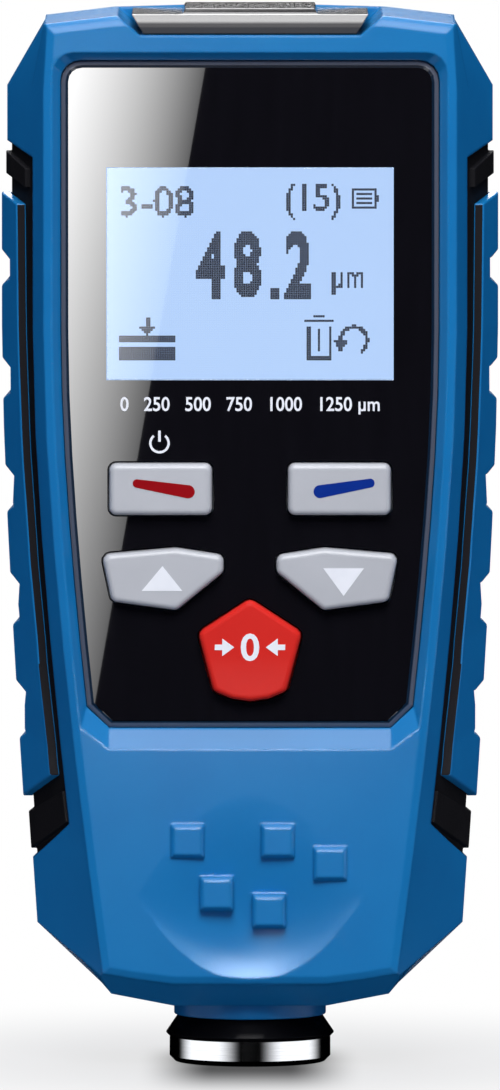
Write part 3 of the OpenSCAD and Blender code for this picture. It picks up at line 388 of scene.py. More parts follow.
def moulded(name, dark, light, patch_mm, grain_mm, depth_mm, gloss, ior, specular=0.5, edge_mm=0.0,
            sides=None, polished_above=None):
    material, tree = new_tree(name)
    place = add(tree, "ShaderNodeTexCoord")
    patch = add(tree, "ShaderNodeTexNoise", {"Vector": place.outputs["Object"], "Scale": per_mm(patch_mm),
                "Detail": 3.0})
    tint = add(tree, "ShaderNodeMix", {0: patch.outputs["Fac"], 6: linear(dark), 7: linear(light)},
               data_type="RGBA")
    grain = add(tree, "ShaderNodeTexNoise", {"Vector": place.outputs["Object"], "Scale": per_mm(grain_mm),
                "Detail": 2.0})
    rough = add(tree, "ShaderNodeMapRange", {"Value": grain.outputs["Fac"], "To Min": gloss[0],
                "To Max": gloss[1]})
    coat = {}
    if sides:
        turned = add(tree, "ShaderNodeNewGeometry")
        facing = add(tree, "ShaderNodeVectorMath", {0: turned.outputs["True Normal"], 1: (0, 1, 0)},
                     operation="DOT_PRODUCT")
        facing = add(tree, "ShaderNodeMath", {0: facing.outputs["Value"]}, operation="ABSOLUTE")
        facing = add(tree, "ShaderNodeMath", {0: facing.outputs[0], 1: SIDE_FACING}, operation="GREATER_THAN")
        tint = add(tree, "ShaderNodeMix", {0: facing.outputs[0], 6: tint.outputs[2], 7: linear(sides)},
                   data_type="RGBA")
        rough = add(tree, "ShaderNodeMix", {0: facing.outputs[0], 2: rough.outputs[0], 3: SIDE_ROUGH})
    if polished_above:
        split = add(tree, "ShaderNodeSeparateXYZ", {0: place.outputs["Object"]})
        band = add(tree, "ShaderNodeMapRange", {"Value": split.outputs["Z"],
                   "From Min": (polished_above - POLISH_BAND) * MM,
                   "From Max": (polished_above + POLISH_BAND) * MM})
        rough = add(tree, "ShaderNodeMix", {0: band.outputs[0], 2: MATT_ROUGH, 3: rough.outputs[0]})
        coat = {"Coat Weight": band.outputs[0], "Coat Roughness": POLISH_COAT_ROUGH}
    relief = add(tree, "ShaderNodeBump", {"Height": grain.outputs["Fac"], "Strength": GRAIN_STRENGTH,
                 "Distance": depth_mm * MM})
    if edge_mm:
        rounded = add(tree, "ShaderNodeBevel", {"Radius": edge_mm * MM}, samples=EDGE_SAMPLES)
        tree.links.new(rounded.outputs[0], relief.inputs["Normal"])
    body = add(tree, "ShaderNodeBsdfPrincipled", {"Base Color": tint.outputs[2], "IOR": ior,
               "Specular IOR Level": specular, "Roughness": rough.outputs[0],
               "Normal": relief.outputs[0], **coat})
    add(tree, "ShaderNodeOutputMaterial", {"Surface": body.outputs[0]})
    print("material", name)
    return material


print("pattern scale for a grain of 1 mm:", round(per_mm(1)))

# %% Case plastics and rubbers
BLUE_ABS = {"dark": "#1270ae", "light": "#177dba", "patch_mm": 9, "grain_mm": 0.22, "depth_mm": 0.005,
            "gloss": (0.2, 0.28), "ior": 1.53, "specular": 0.14}
# Spark-eroded ABS: satin, with a grain drawn a little coarser than the real 0.1 mm so that it shows.
case_abs = moulded("spark_eroded_abs", edge_mm=0.45, **BLUE_ABS)
# The grip bars are blue caps on a black rubber core, which shows on their sides to the front and back.
bar_abs = moulded("blue_cap_on_black_rubber", edge_mm=0.2, sides="#17161a", **BLUE_ABS)
# Grip rubber moulded over the shell: nearly matt, a little dusty.
grip_rubber = moulded("moulded_grip_rubber", "#0f0f12", "#17161a", patch_mm=4, grain_mm=0.3, depth_mm=0.02,
                      gloss=(0.5, 0.65), ior=1.5, specular=0.06)
# The port cover is a firmer rubber: matt along its lower edge and polished above it.
cover_rubber = moulded("smooth_port_rubber", "#161518", "#1f1d21", patch_mm=5, grain_mm=0.4, depth_mm=0.0004,
                       gloss=(0.2, 0.3), ior=1.52, polished_above=113.3)
# The collar above the foot is turned from black acetal and polished.
collar_acetal = moulded("polished_black_acetal", "#060608", "#0a0a0d", patch_mm=4, grain_mm=0.3,
                        depth_mm=0.004, gloss=(0.22, 0.3), ior=1.48, specular=0.01)

# %% Key caps
# Satin key caps in a cool light grey.
key_abs = moulded("satin_key_abs", "#b2b3b6", "#bfc0c3", patch_mm=5, grain_mm=0.25, depth_mm=0.006,
                  gloss=(0.28, 0.4), ior=1.53, specular=0.35, edge_mm=0.4)
# The zero key is cast in red silicone under a satin skin.
red_silicone = moulded("red_key_silicone", "#d42620", "#e23028", patch_mm=5, grain_mm=0.25, depth_mm=0.006,
                       gloss=(0.25, 0.36), ior=1.42, specular=0.05, edge_mm=0.4)

# %% Inner plastics
# Inner frames and caps are plain black nylon.
black_nylon = moulded("black_nylon", "#141416", "#1d1d20", patch_mm=3, grain_mm=0.3, depth_mm=0.01,
                      gloss=(0.4, 0.55), ior=1.53)
# The plug on the board is unpainted cream nylon.
plug_nylon = moulded("cream_nylon", "#e2ddcf", "#eeeadf", patch_mm=3, grain_mm=0.3, depth_mm=0.01,
                     gloss=(0.4, 0.5), ior=1.53)
# The diffuser behind the display is milky polycarbonate.
diffuser = moulded("milky_polycarbonate", "#eceef2", "#f8f8fa", patch_mm=6, grain_mm=0.4, depth_mm=0.01,
                   gloss=(0.35, 0.45), ior=1.58)
# The lead's jacket is soft dark rubber.
lead_rubber = moulded("lead_jacket_rubber", "#2b2b31", "#38383f", patch_mm=3, grain_mm=0.4, depth_mm=0.015,
                      gloss=(0.45, 0.6), ior=1.52)

# %% Inks
INK_GRAIN = {"patch_mm": 2, "grain_mm": 0.15, "depth_mm": 0.004, "ior": 1.5}
# Printing ink lies on the surface as a thin matt film.
white_ink = moulded("white_pad_print_ink", "#e9eaee", "#f7f8fa", gloss=(0.4, 0.55), **INK_GRAIN)
red_ink = moulded("red_pad_print_ink", "#930a12", "#a11018", gloss=(0.5, 0.65), specular=0.02, **INK_GRAIN)
blue_ink = moulded("blue_pad_print_ink", "#0a2b84", "#0f348e", gloss=(0.5, 0.65), specular=0.02, **INK_GRAIN)
# The display's dark dots lie under the lens, so they have no gloss of their own.
cell_dot = moulded("display_crystal_dark", "#141c30", "#1d2840", patch_mm=2, grain_mm=0.2, depth_mm=0.002,
                   gloss=(0.4, 0.5), ior=1.5, specular=0.0)

# %% [markdown]
# ## Gloss panel, lens and display
# The panel is cast acrylic with a hard gloss coat, so it is a nearly black mirror: its only detail is
# a faint haze of wiping marks. A grey band painted along its edge stands for the thin highlight that
# the edge catches. The lens is clear acrylic with a coat against glare. The display glass is lit from
# behind, so it gives off its own pale blue, with the thin lines between its dots. Those could be
# a texture, but a drawn grid follows the dots' real size.

# %% Panel
WIPE_MM, WIPE_TURN, WIPE_STRETCH = 1.2, 0.5, 0.12
# Painted highlight: a grey band along the panel's edge, from these depths behind its front face.
EDGE_GLINT_START, EDGE_GLINT_FULL = 0.14 * MM, 0.22 * MM
PANEL_ROUGH_LOW, PANEL_ROUGH_HIGH, PANEL_COAT_ROUGH = 0.005, 0.02, 0.005
panel_acrylic, tree = new_tree("gloss_black_acrylic")
place = add(tree, "ShaderNodeTexCoord")
wiped = add(tree, "ShaderNodeMapping", {"Vector": place.outputs["Object"], "Rotation": (0, WIPE_TURN, 0),
            "Scale": (1.0, 1.0, WIPE_STRETCH)})
haze = add(tree, "ShaderNodeTexNoise", {"Vector": wiped.outputs[0], "Scale": per_mm(WIPE_MM), "Detail": 4.0})
rough = add(tree, "ShaderNodeMapRange", {"Value": haze.outputs["Fac"], "To Min": PANEL_ROUGH_LOW,
            "To Max": PANEL_ROUGH_HIGH})
tint_and_edge_glint = add(tree, "ShaderNodeMix", {0: haze.outputs["Fac"], 6: linear("#0d0c10"), 7: linear("#131217")},
            data_type="RGBA")
# A grey band painted along the edge stands for the thin highlight that the panel's bevel catches.
split = add(tree, "ShaderNodeSeparateXYZ", {0: place.outputs["Object"]})
panel_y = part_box("front_panel")[0].y
edge_glint = add(tree, "ShaderNodeMapRange", {"Value": split.outputs["Y"], "From Min": panel_y + EDGE_GLINT_START,
          "From Max": panel_y + EDGE_GLINT_FULL})
tint_and_edge_glint = add(tree, "ShaderNodeMix", {0: edge_glint.outputs[0], 6: tint_and_edge_glint.outputs[2], 7: linear("#5c5e68")},
            data_type="RGBA")
body = add(tree, "ShaderNodeBsdfPrincipled", {"Base Color": tint_and_edge_glint.outputs[2], "IOR": 1.49,
           "Roughness": rough.outputs[0], "Coat Weight": 1.0, "Coat Roughness": PANEL_COAT_ROUGH})
add(tree, "ShaderNodeOutputMaterial", {"Surface": body.outputs[0]})
print("panel front at", round(panel_y / MM, 2), "mm")

# %% Lens
SMEAR_MM, SMEAR_ROUGH = 6, 0.03
lens_acrylic, tree = new_tree("clear_lens_acrylic")
place = add(tree, "ShaderNodeTexCoord")
smear = add(tree, "ShaderNodeTexNoise", {"Vector": place.outputs["Object"], "Scale": per_mm(SMEAR_MM),
            "Detail": 3.0})
rough = add(tree, "ShaderNodeMapRange", {"Value": smear.outputs["Fac"], "To Min": 0.0, "To Max": SMEAR_ROUGH})
body = add(tree, "ShaderNodeBsdfPrincipled", {"Base Color": WHITE, "IOR": 1.49, "Transmission Weight": 1.0,
           "Roughness": rough.outputs[0], "Specular IOR Level": 0.25})
add(tree, "ShaderNodeOutputMaterial", {"Surface": body.outputs[0]})
print("lens smears of", SMEAR_MM, "mm")

# %% Display glass
SCREEN_WIDTH, COLUMNS, ROWS = 31, 128, 95
DOT_PITCH = SCREEN_WIDTH / COLUMNS
LINE_SHARE, CLOUD_MM = 0.14, 22
display_glass, tree = new_tree("backlit_display_glass")
place = add(tree, "ShaderNodeTexCoord")
cells = add(tree, "ShaderNodeVectorMath", {0: place.outputs["Object"], "Scale": per_mm(DOT_PITCH)},
            operation="SCALE")
cells = add(tree, "ShaderNodeVectorMath", {0: cells.outputs[0]}, operation="FRACTION")
split = add(tree, "ShaderNodeSeparateXYZ", {0: cells.outputs[0]})
gaps = add(tree, "ShaderNodeMath", {0: split.outputs["X"], 1: split.outputs["Z"]}, operation="MINIMUM")
line = add(tree, "ShaderNodeMath", {0: gaps.outputs[0], 1: LINE_SHARE}, operation="LESS_THAN")
cloud = add(tree, "ShaderNodeTexNoise", {"Vector": place.outputs["Object"], "Scale": per_mm(CLOUD_MM),
            "Detail": 1.0})
lit = add(tree, "ShaderNodeMix", {0: cloud.outputs["Fac"], 6: linear("#acccfa"), 7: linear("#b4d4fe")},
          data_type="RGBA")
lined = add(tree, "ShaderNodeMix", {0: line.outputs[0], 6: lit.outputs[2], 7: linear("#a6c8f8")},
            data_type="RGBA")
body = add(tree, "ShaderNodeBsdfPrincipled", {"Base Color": linear("#10141c"), "IOR": 1.52, "Roughness": 0.25,
           "Emission Color": lined.outputs[2], "Emission Strength": 1.0})
add(tree, "ShaderNodeOutputMaterial", {"Surface": body.outputs[0]})
print("display dots of", round(DOT_PITCH, 3), "mm")

# %% [markdown]
# ## Metals and the inner parts
# The foot is turned and then chromed: a mirror with the faint rings that the lathe left. Springs, plates
# and screws are plated steel. Inside, the board is green glass laminate with its copper tracks, the
# winding is enamelled wire, and the cells wear a plain printed sleeve. Each is drawn from noise that is
# stretched round the piece, from a brick pattern, or from bands along the piece.

# %% Metals
RING_STRETCH, RING_STRENGTH = 0.04, 0.2


def metal(name, dark, light, ring_mm, gloss, depth_mm):
    material, tree = new_tree(name)
    place = add(tree, "ShaderNodeTexCoord")
    stretched = add(tree, "ShaderNodeMapping", {"Vector": place.outputs["Object"],
                    "Scale": (RING_STRETCH, RING_STRETCH, 1.0)})
    rings = add(tree, "ShaderNodeTexNoise", {"Vector": stretched.outputs[0], "Scale": per_mm(ring_mm),
                "Detail": 2.0})
    tint = add(tree, "ShaderNodeMix", {0: rings.outputs["Fac"], 6: linear(dark), 7: linear(light)},
               data_type="RGBA")
    rough = add(tree, "ShaderNodeMapRange", {"Value": rings.outputs["Fac"], "To Min": gloss[0],
                "To Max": gloss[1]})
    relief = add(tree, "ShaderNodeBump", {"Height": rings.outputs["Fac"], "Strength": RING_STRENGTH,
                 "Distance": depth_mm * MM})
    body = add(tree, "ShaderNodeBsdfPrincipled", {"Base Color": tint.outputs[2], "Metallic": 1.0,
               "Roughness": rough.outputs[0], "Normal": relief.outputs[0]})
    add(tree, "ShaderNodeOutputMaterial", {"Surface": body.outputs[0]})
    print("metal", name)
    return material


# Chrome over a turned foot: bright, with rings fine enough to show only as a soft gleam.
foot_chrome = metal("turned_chrome_plate", "#c9ccd2", "#e6e8ec", ring_mm=0.12, gloss=(0.05, 0.12),
                    depth_mm=0.002)
# The tip is ground tool steel: greyer and duller than the chrome.
tip_steel = metal("ground_tool_steel", "#9a9da3", "#b9bcc2", ring_mm=0.08, gloss=(0.15, 0.3), depth_mm=0.002)
# Zinc gives screws a soft, slightly uneven grey.
screw_steel = metal("zinc_plated_steel", "#9ea1a6", "#c2c4c8", ring_mm=0.2, gloss=(0.2, 0.35), depth_mm=0.003)
# Nickel is warmer and shinier than zinc.
spring_steel = metal("nickel_plated_spring_wire", "#b4b5b6", "#d2d2d0", ring_mm=0.3, gloss=(0.15, 0.25),
                     depth_mm=0.002)
# The socket's folded shell is tinned: bright and a little cloudy.
socket_steel = metal("tinned_socket_shell", "#b6b9bf", "#d3d5d9", ring_mm=0.4, gloss=(0.18, 0.3),
                     depth_mm=0.002)
# Enamelled wire shows as fine orange-brown turns.
winding_copper = metal("enamelled_copper_wire", "#8e4a22", "#c87c46", ring_mm=0.12, gloss=(0.2, 0.35),
                       depth_mm=0.02)

# %% Board
TRACK_MM, TRACK_SHARE, WEAVE_MM = 2.4, 0.08, 0.3
board_laminate, tree = new_tree("green_glass_laminate")
place = add(tree, "ShaderNodeTexCoord")
turned = add(tree, "ShaderNodeMapping", {"Vector": place.outputs["Object"], "Rotation": (math.pi / 2, 0, 0)})
tracks = add(tree, "ShaderNodeTexBrick", {"Vector": turned.outputs[0], "Scale": per_mm(TRACK_MM),
             "Color1": linear("#174d31"), "Color2": linear("#1b5637"), "Mortar": linear("#2f7a4f"),
             "Mortar Size": TRACK_SHARE})
weave = add(tree, "ShaderNodeTexNoise", {"Vector": place.outputs["Object"], "Scale": per_mm(WEAVE_MM),
            "Detail": 1.0})
rough = add(tree, "ShaderNodeMapRange", {"Value": weave.outputs["Fac"], "To Min": 0.3, "To Max": 0.45})
body = add(tree, "ShaderNodeBsdfPrincipled", {"Base Color": tracks.outputs["Color"], "IOR": 1.55,
           "Roughness": rough.outputs[0]})
add(tree, "ShaderNodeOutputMaterial", {"Surface": body.outputs[0]})
print("board tracks every", TRACK_MM, "mm")

# %% Cells
SLEEVE_BANDS = [(0.0, "#c4c7cc"), (0.02, "#3c4046"), (0.3, "#b9bcc2"), (0.34, "#e4e6ea"), (0.97, "#c4c7cc")]
FILM_MM = 2


def sleeve(name, low_z_mm, high_z_mm):
    material, tree = new_tree(name)
    place = add(tree, "ShaderNodeTexCoord")
    split = add(tree, "ShaderNodeSeparateXYZ", {0: place.outputs["Object"]})
    along = add(tree, "ShaderNodeMapRange", {"Value": split.outputs["Z"], "From Min": low_z_mm * MM,
                "From Max": high_z_mm * MM})
    bands = add(tree, "ShaderNodeValToRGB", {0: along.outputs[0]})
    bands.color_ramp.interpolation = "CONSTANT"
    stops = bands.color_ramp.elements
    for i, (at, colour) in enumerate(SLEEVE_BANDS):
        stop = stops[i] if i < 2 else stops.new(at)
        stop.position, stop.color = at, linear(colour)
    film = add(tree, "ShaderNodeTexNoise", {"Vector": place.outputs["Object"], "Scale": per_mm(FILM_MM),
               "Detail": 2.0})
    rough = add(tree, "ShaderNodeMapRange", {"Value": film.outputs["Fac"], "To Min": 0.2, "To Max": 0.3})
    body = add(tree, "ShaderNodeBsdfPrincipled", {"Base Color": bands.outputs[0], "IOR": 1.5,
               "Roughness": rough.outputs[0]})
    add(tree, "ShaderNodeOutputMaterial", {"Surface": body.outputs[0]})
    return material


# A sleeve is a glossy printed film. The two cells lie head to tail, so the bands run opposite ways.
cell_boxes = {name: [corner.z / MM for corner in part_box(name)] for name in ("left_cell", "right_cell")}
left_sleeve = sleeve("printed_cell_sleeve_left", *cell_boxes["left_cell"])
right_sleeve = sleeve("printed_cell_sleeve_right", *reversed(cell_boxes["right_cell"]))
print("cells from", {name: [round(z, 1) for z in box] for name, box in cell_boxes.items()})

# %% [markdown]
# ## Finishing the solids
# A real moulding has no knife edges. The solids come as loose triangles, so on most of them a small stack
# of modifiers welds them, joins flat neighbours, rounds what is left as an edge by a fraction of
# a millimetre, and weights the normals so that flat faces stay flat. The two shells are made of many
# shallow bends that a bevel would cut up, so a small Geometry Nodes tree welds them and lets those bends
# flow, and their material rounds the sharper edges in the shading, as it does on the keys.

# %% Soft bends
WELD = 0.002 * MM


def geometry_tree(name, inputs, result):
    tree = bpy.data.node_groups.new(name, "GeometryNodeTree")
    identifiers = {}
    for label, kind in inputs:
        socket = tree.interface.new_socket(label, in_out="INPUT", socket_type="NodeSocket" + kind)
        identifiers[label] = socket.identifier
    tree.interface.new_socket(result, in_out="OUTPUT", socket_type="NodeSocketGeometry")
    print(name, "inputs:", list(identifiers))
    return tree, identifiers


bend_tree, bend_inputs = geometry_tree("soft_bends", (("Solid", "Geometry"), ("Weld", "Float"),
                                                      ("Bend", "Float")), "Solid")
given = add(bend_tree, "NodeGroupInput").outputs
whole = add(bend_tree, "GeometryNodeMergeByDistance", {"Geometry": given["Solid"], "Distance": given["Weld"]})
smooth = add(bend_tree, "GeometryNodeSetShadeSmooth", {"Geometry": whole.outputs[0], "Shade Smooth": True},
             domain="FACE")
angle = add(bend_tree, "GeometryNodeInputMeshEdgeAngle")
steep = add(bend_tree, "FunctionNodeCompare", {"A": angle.outputs["Unsigned Angle"], "B": given["Bend"]},
            data_type="FLOAT", operation="GREATER_THAN")
crisp = add(bend_tree, "GeometryNodeSetShadeSmooth", {"Geometry": smooth.outputs[0],
            "Selection": steep.outputs[0], "Shade Smooth": False}, domain="EDGE")
add(bend_tree, "NodeGroupOutput", {"Solid": crisp.outputs[0]})


def soften(bend_deg, *names):
    for name in names:
        bends = nodes[name].modifiers.new("soft_bends", "NODES")
        bends.node_group = bend_tree
        bends[bend_inputs["Weld"]], bends[bend_inputs["Bend"]] = WELD, math.radians(bend_deg)
        nodes[name].modifiers.new("even_normals", "WEIGHTED_NORMAL").keep_sharp = True
    print("bends under", bend_deg, "degrees flow on", ", ".join(names))


# %% Edge radii
FLAT_DEG, RADIUS_STEPS = 0.3, 2


def finish(material, edge_mm, *names, angle=35):
    for name in names:
        solid = nodes[name]
        solid.data.materials.clear()
        solid.data.materials.append(material)
        if edge_mm:
            weld = solid.modifiers.new("weld", "WELD")
            weld.merge_threshold = WELD
            flat = solid.modifiers.new("flat_faces", "DECIMATE")
            flat.decimate_type, flat.angle_limit = "DISSOLVE", math.radians(FLAT_DEG)
            edge = solid.modifiers.new("mould_radius", "BEVEL")
            edge.width, edge.segments, edge.limit_method = edge_mm * MM, RADIUS_STEPS, "ANGLE"
            edge.angle_limit, edge.use_clamp_overlap = math.radians(angle), False
            solid.modifiers.new("even_normals", "WEIGHTED_NORMAL").keep_sharp = True
    print(material.name, "on", ", ".join(names))


print("edges are rounded in", RADIUS_STEPS, "steps")

# %% Finishes on the outer pieces
finish(case_abs, 0, "front_shell", "rear_shell", "battery_door")
soften(11, "front_shell", "rear_shell")
finish(bar_abs, 0.15, "left_grip_bar", "right_grip_bar", angle=40)
finish(case_abs, 0.15, "probe_holder", angle=40)
finish(grip_rubber, 0.1, "left_side_inlay", "right_side_inlay", angle=40)
finish(collar_acetal, 0.1, "probe_collar", angle=40)
finish(cover_rubber, 0.1, "port_cover", angle=25)
finish(panel_acrylic, 0, "front_panel")
finish(lens_acrylic, 0.03, "display_lens")
finish(key_abs, 0, "left_soft_key", "right_soft_key", "up_key", "down_key")
finish(red_silicone, 0, "zero_key")
finish(foot_chrome, 0, "probe_sleeve")

# %% Finishes on the inner pieces
finish(display_glass, 0.03, "lcd_glass")
finish(diffuser, 0.05, "lcd_backlight")
finish(board_laminate, 0.03, "main_board")
finish(black_nylon, 0.05, "key_switches", "buzzer", "probe_bobbin", "probe_cap")
finish(screw_steel, 0.06, "board_screws", "case_screws", "door_screw")
finish(left_sleeve, 0.2, "left_cell")
finish(right_sleeve, 0.2, "right_cell")
finish(spring_steel, 0.03, "battery_plates", "battery_springs", "probe_spring")
finish(socket_steel, 0.05, "usb_socket")
finish(tip_steel, 0.05, "probe_tip")
finish(winding_copper, 0.05, "probe_winding")
finish(lead_rubber, 0.02, "probe_lead")
finish(plug_nylon, 0.08, "probe_plug")

# %% [markdown]
# ## The spring behind the tip
# When the tip is pressed in, its spring is pushed together, and a rigid coil would let the bobbin cut into
# it. A copy of the coil, its triangles merged, stands for it, and the coil from the frame is hidden.

# %% Tip spring
wire = nodes["probe_spring"].data.copy()
work = bmesh.new()
work.from_mesh(wire)
bmesh.ops.remove_doubles(work, verts=work.verts, dist=WELD)
work.to_mesh(wire)
work.free()
coil = bpy.data.objects.new("tip_spring_coil", wire)
scene.collection.objects.link(coil)
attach(coil, "root")
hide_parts("probe_spring")
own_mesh(coil)

# %% [markdown]
# ## Flat artwork
# What is printed on the keys and the panel, and what the display shows, starts as flat artwork: outlines
# given in millimetres across and up, and figures from the built-in typeface. A text object would do for
# the figures alone, but all artwork becomes plain mesh, so that one function can lay it on any face.

# %% Figures as mesh
FIGURE_STEPS = 4


def plain_mesh(made):
    bpy.context.view_layer.update()
    return bpy.data.meshes.new_from_object(made.evaluated_get(bpy.context.evaluated_depsgraph_get()))


def figures(text, width_mm, height_mm, centre_mm, bold=0.0):
    curve = bpy.data.curves.new("figures", "FONT")
    curve.body, curve.offset, curve.resolution_u = text, bold, FIGURE_STEPS
    letters = bpy.data.objects.new("figures", curve)
    scene.collection.objects.link(letters)
    mesh = plain_mesh(letters)
    bpy.data.objects.remove(letters)
    low = Vector((min(v.co.x for v in mesh.vertices), min(v.co.y for v in mesh.vertices)))
    high = Vector((max(v.co.x for v in mesh.vertices), max(v.co.y for v in mesh.vertices)))
    across, up = width_mm / (high.x - low.x), height_mm / (high.y - low.y)
    middle = (low + high) / 2
    points = [((v.co.x - middle.x) * across + centre_mm[0], (v.co.y - middle.y) * up + centre_mm[1])
              for v in mesh.vertices]
    faces = [tuple(p.vertices) for p in mesh.polygons]
    bpy.data.meshes.remove(mesh)
    print("figures", text, "with", len(faces), "faces")
    return points, faces


# %% Outlines
def shape(*points):
    return list(points), [tuple(range(len(points)))]


def bar(x0, z0, x1, z1):
    return shape((x0, z0), (x1, z0), (x1, z1), (x0, z1))


def capsule(start, start_r, end, end_r, steps=10):
    axis = math.atan2(end[1] - start[1], end[0] - start[0])
    points = []
    for centre, radius, turn in ((end, end_r, axis - math.pi / 2), (start, start_r, axis + math.pi / 2)):
        for i in range(steps + 1):
            a = turn + math.pi * i / steps
            points.append((centre[0] + radius * math.cos(a), centre[1] + radius * math.sin(a)))
    return shape(*points)


def arc(centre, inner, outer, start_deg, end_deg, steps=28):
    points = []
    for i in range(steps + 1):
        a = math.radians(start_deg + (end_deg - start_deg) * i / steps)
        for radius in (inner, outer):
            points.append((centre[0] + radius * math.cos(a), centre[1] + radius * math.sin(a)))
    return points, [(2 * i, 2 * i + 1, 2 * i + 3, 2 * i + 2) for i in range(steps)]


def artwork_mesh(name, parts, y_mm):
    mesh = bpy.data.meshes.new(name)
    points, faces = [], []
    for part_points, part_faces in parts:
        faces += [tuple(i + len(points) for i in face) for face in part_faces]
        points += part_points
    mesh.from_pydata([(x * MM, y_mm * MM, z * MM) for x, z in points], [], faces)
    print(name, "has", len(faces), "flat faces")
    return mesh


print("points in a capsule:", len(capsule((0, 0), 1, (2, 0), 1)[0]))

# %% [markdown]
# ## Printed marks
# Each mark is a film of ink a few hundredths of a millimetre thick. It stands on the face that carries
# it and rides with it, so a key takes its mark down when it is pressed. A texture would do, but it would
# need a UV map on every key. The film's front is made first and then pushed back into the face, which
# closes its sides.

# %% Ink films
INK_FILM, INK_MERGE, INK_SINK = 0.03, 0.0005, 1.5


def ink(name, parts, node, material, body):
    face_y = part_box(node)[0].y / MM
    mesh = artwork_mesh(name, parts, face_y - INK_FILM)
    work = bmesh.new()
    work.from_mesh(mesh)
    bmesh.ops.remove_doubles(work, verts=work.verts, dist=INK_MERGE * MM)
    for face in work.faces:
        if face.normal.y > 0:
            face.normal_flip()
    pushed = bmesh.ops.extrude_face_region(work, geom=list(work.faces), use_keep_orig=True)
    moved = [v for v in pushed["geom"] if isinstance(v, bmesh.types.BMVert)]
    bmesh.ops.translate(work, verts=moved, vec=(0, INK_SINK * INK_FILM * MM, 0))
    bmesh.ops.recalc_face_normals(work, faces=work.faces)
    work.to_mesh(mesh)
    work.free()
    mesh.materials.append(material)
    mark = bpy.data.objects.new(name, mesh)
    scene.collection.objects.link(mark)
    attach(mark, body)
    print(name, "on", node, "faces", len(mesh.polygons))


print("ink film:", INK_FILM, "mm")

# %% Marks on the grey keys
ink("left_key_dash", [capsule((-12.2, 63.67), 0.46, (-6.67, 62.78), 0.72)], "left_soft_key", red_ink,
    "left_soft_key")
ink("right_key_dash", [capsule((7.55, 62.8), 0.7, (12.97, 63.72), 0.48)], "right_soft_key", blue_ink,
    "right_soft_key")
ink("up_arrow", [shape((-11.7, 52.05), (-7.3, 52.05), (-9.45, 54.75))], "up_key", white_ink,
    "up_key")
ink("down_arrow", [shape((7.9, 54.5), (10.1, 51.5), (12.3, 54.5))], "down_key", white_ink,
    "down_key")

# %% Marks on the zero key and the panel
ZERO_Z, ZERO_WIDTH, ZERO_HEIGHT = 45.95, 2.0, 3.0
ARROW_TIP, ARROW_BACK, ARROW_END = 1.7, 3.0, 3.8
ARROW_HALF, SHAFT_HALF = 0.95, 0.3
zero_parts = [figures("0", ZERO_WIDTH, ZERO_HEIGHT, (0, ZERO_Z), bold=0.02)]
for side in (-1, 1):
    tip, back, end = side * ARROW_TIP, side * ARROW_BACK, side * ARROW_END
    zero_parts.append(shape((tip, ZERO_Z), (back, ZERO_Z - ARROW_HALF), (back, ZERO_Z + ARROW_HALF)))
    zero_parts.append(bar(min(back, end), ZERO_Z - SHAFT_HALF, max(back, end), ZERO_Z + SHAFT_HALF))
ink("zero_sign", zero_parts, "zero_key", white_ink, "zero_key")

POWER_X, POWER_Z, POWER_HALF_LINE = -9.77, 67.95, 0.14
ink("power_sign", [arc((POWER_X, POWER_Z), inner=0.86, outer=1.12, start_deg=128, end_deg=412),
                   bar(POWER_X - POWER_HALF_LINE, POWER_Z + 0.15, POWER_X + POWER_HALF_LINE, POWER_Z + 1.35)],
    "front_panel", white_ink, "root")
ink("range_figures", [figures("0   250   500   750   1000   1250 µm", 28.0, 1.9, (0, 72.0), bold=0.015)],
    "front_panel", white_ink, "root")

# %% [markdown]
# ## Figures on the display
# A dot matrix can only show whole dots. Placing hundreds of squares by hand would be slow, so Geometry
# Nodes do it: a grid with one point for each dot looks back at the flat artwork, the points that see
# it stay, and each one gets a small square. The same tree works for any artwork and any dot size.

# %% Dot matrix tree
LOOK_BACK = 1 * MM
dot_tree, dot_inputs = geometry_tree("dot_matrix", (
    ("Artwork", "Geometry"), ("Centre", "Vector"), ("Width", "Float"), ("Height", "Float"),
    ("Dot Pitch", "Float"), ("Dot Size", "Float"), ("Film", "Float"), ("Ink", "Material")), "Dots")
given = add(dot_tree, "NodeGroupInput").outputs
columns = add(dot_tree, "ShaderNodeMath", {0: given["Width"], 1: given["Dot Pitch"]}, operation="DIVIDE")
rows = add(dot_tree, "ShaderNodeMath", {0: given["Height"], 1: given["Dot Pitch"]}, operation="DIVIDE")
grid = add(dot_tree, "GeometryNodeMeshGrid", {"Size X": given["Width"], "Size Y": given["Height"],
           "Vertices X": columns.outputs[0], "Vertices Y": rows.outputs[0]})
ahead = add(dot_tree, "ShaderNodeVectorMath", {0: given["Centre"], 1: (0, -LOOK_BACK, 0)}, operation="ADD")
upright_grid = add(dot_tree, "GeometryNodeTransform", {"Geometry": grid.outputs["Mesh"],
                   "Translation": ahead.outputs[0], "Rotation": (math.pi / 2, 0, 0)})
look = add(dot_tree, "GeometryNodeRaycast", {"Target Geometry": given["Artwork"], "Ray Direction": (0, 1, 0),
           "Ray Length": 2 * LOOK_BACK})
kept = add(dot_tree, "GeometryNodeSeparateGeometry", {"Geometry": upright_grid.outputs[0],
           "Selection": look.outputs["Is Hit"]})
laid = add(dot_tree, "GeometryNodeSetPosition", {"Geometry": kept.outputs["Selection"],
           "Offset": (0, LOOK_BACK, 0)})
dot_size = add(dot_tree, "ShaderNodeCombineXYZ", {"X": given["Dot Size"], "Y": given["Film"],
               "Z": given["Dot Size"]})
dot = add(dot_tree, "GeometryNodeMeshCube", {"Size": dot_size.outputs[0]})
copies = add(dot_tree, "GeometryNodeInstanceOnPoints", {"Points": laid.outputs[0],
             "Instance": dot.outputs["Mesh"]})
solid = add(dot_tree, "GeometryNodeRealizeInstances", {"Geometry": copies.outputs[0]})
inked = add(dot_tree, "GeometryNodeSetMaterial", {"Geometry": solid.outputs[0], "Material": given["Ink"]})
add(dot_tree, "NodeGroupOutput", {"Dots": inked.outputs[0]})

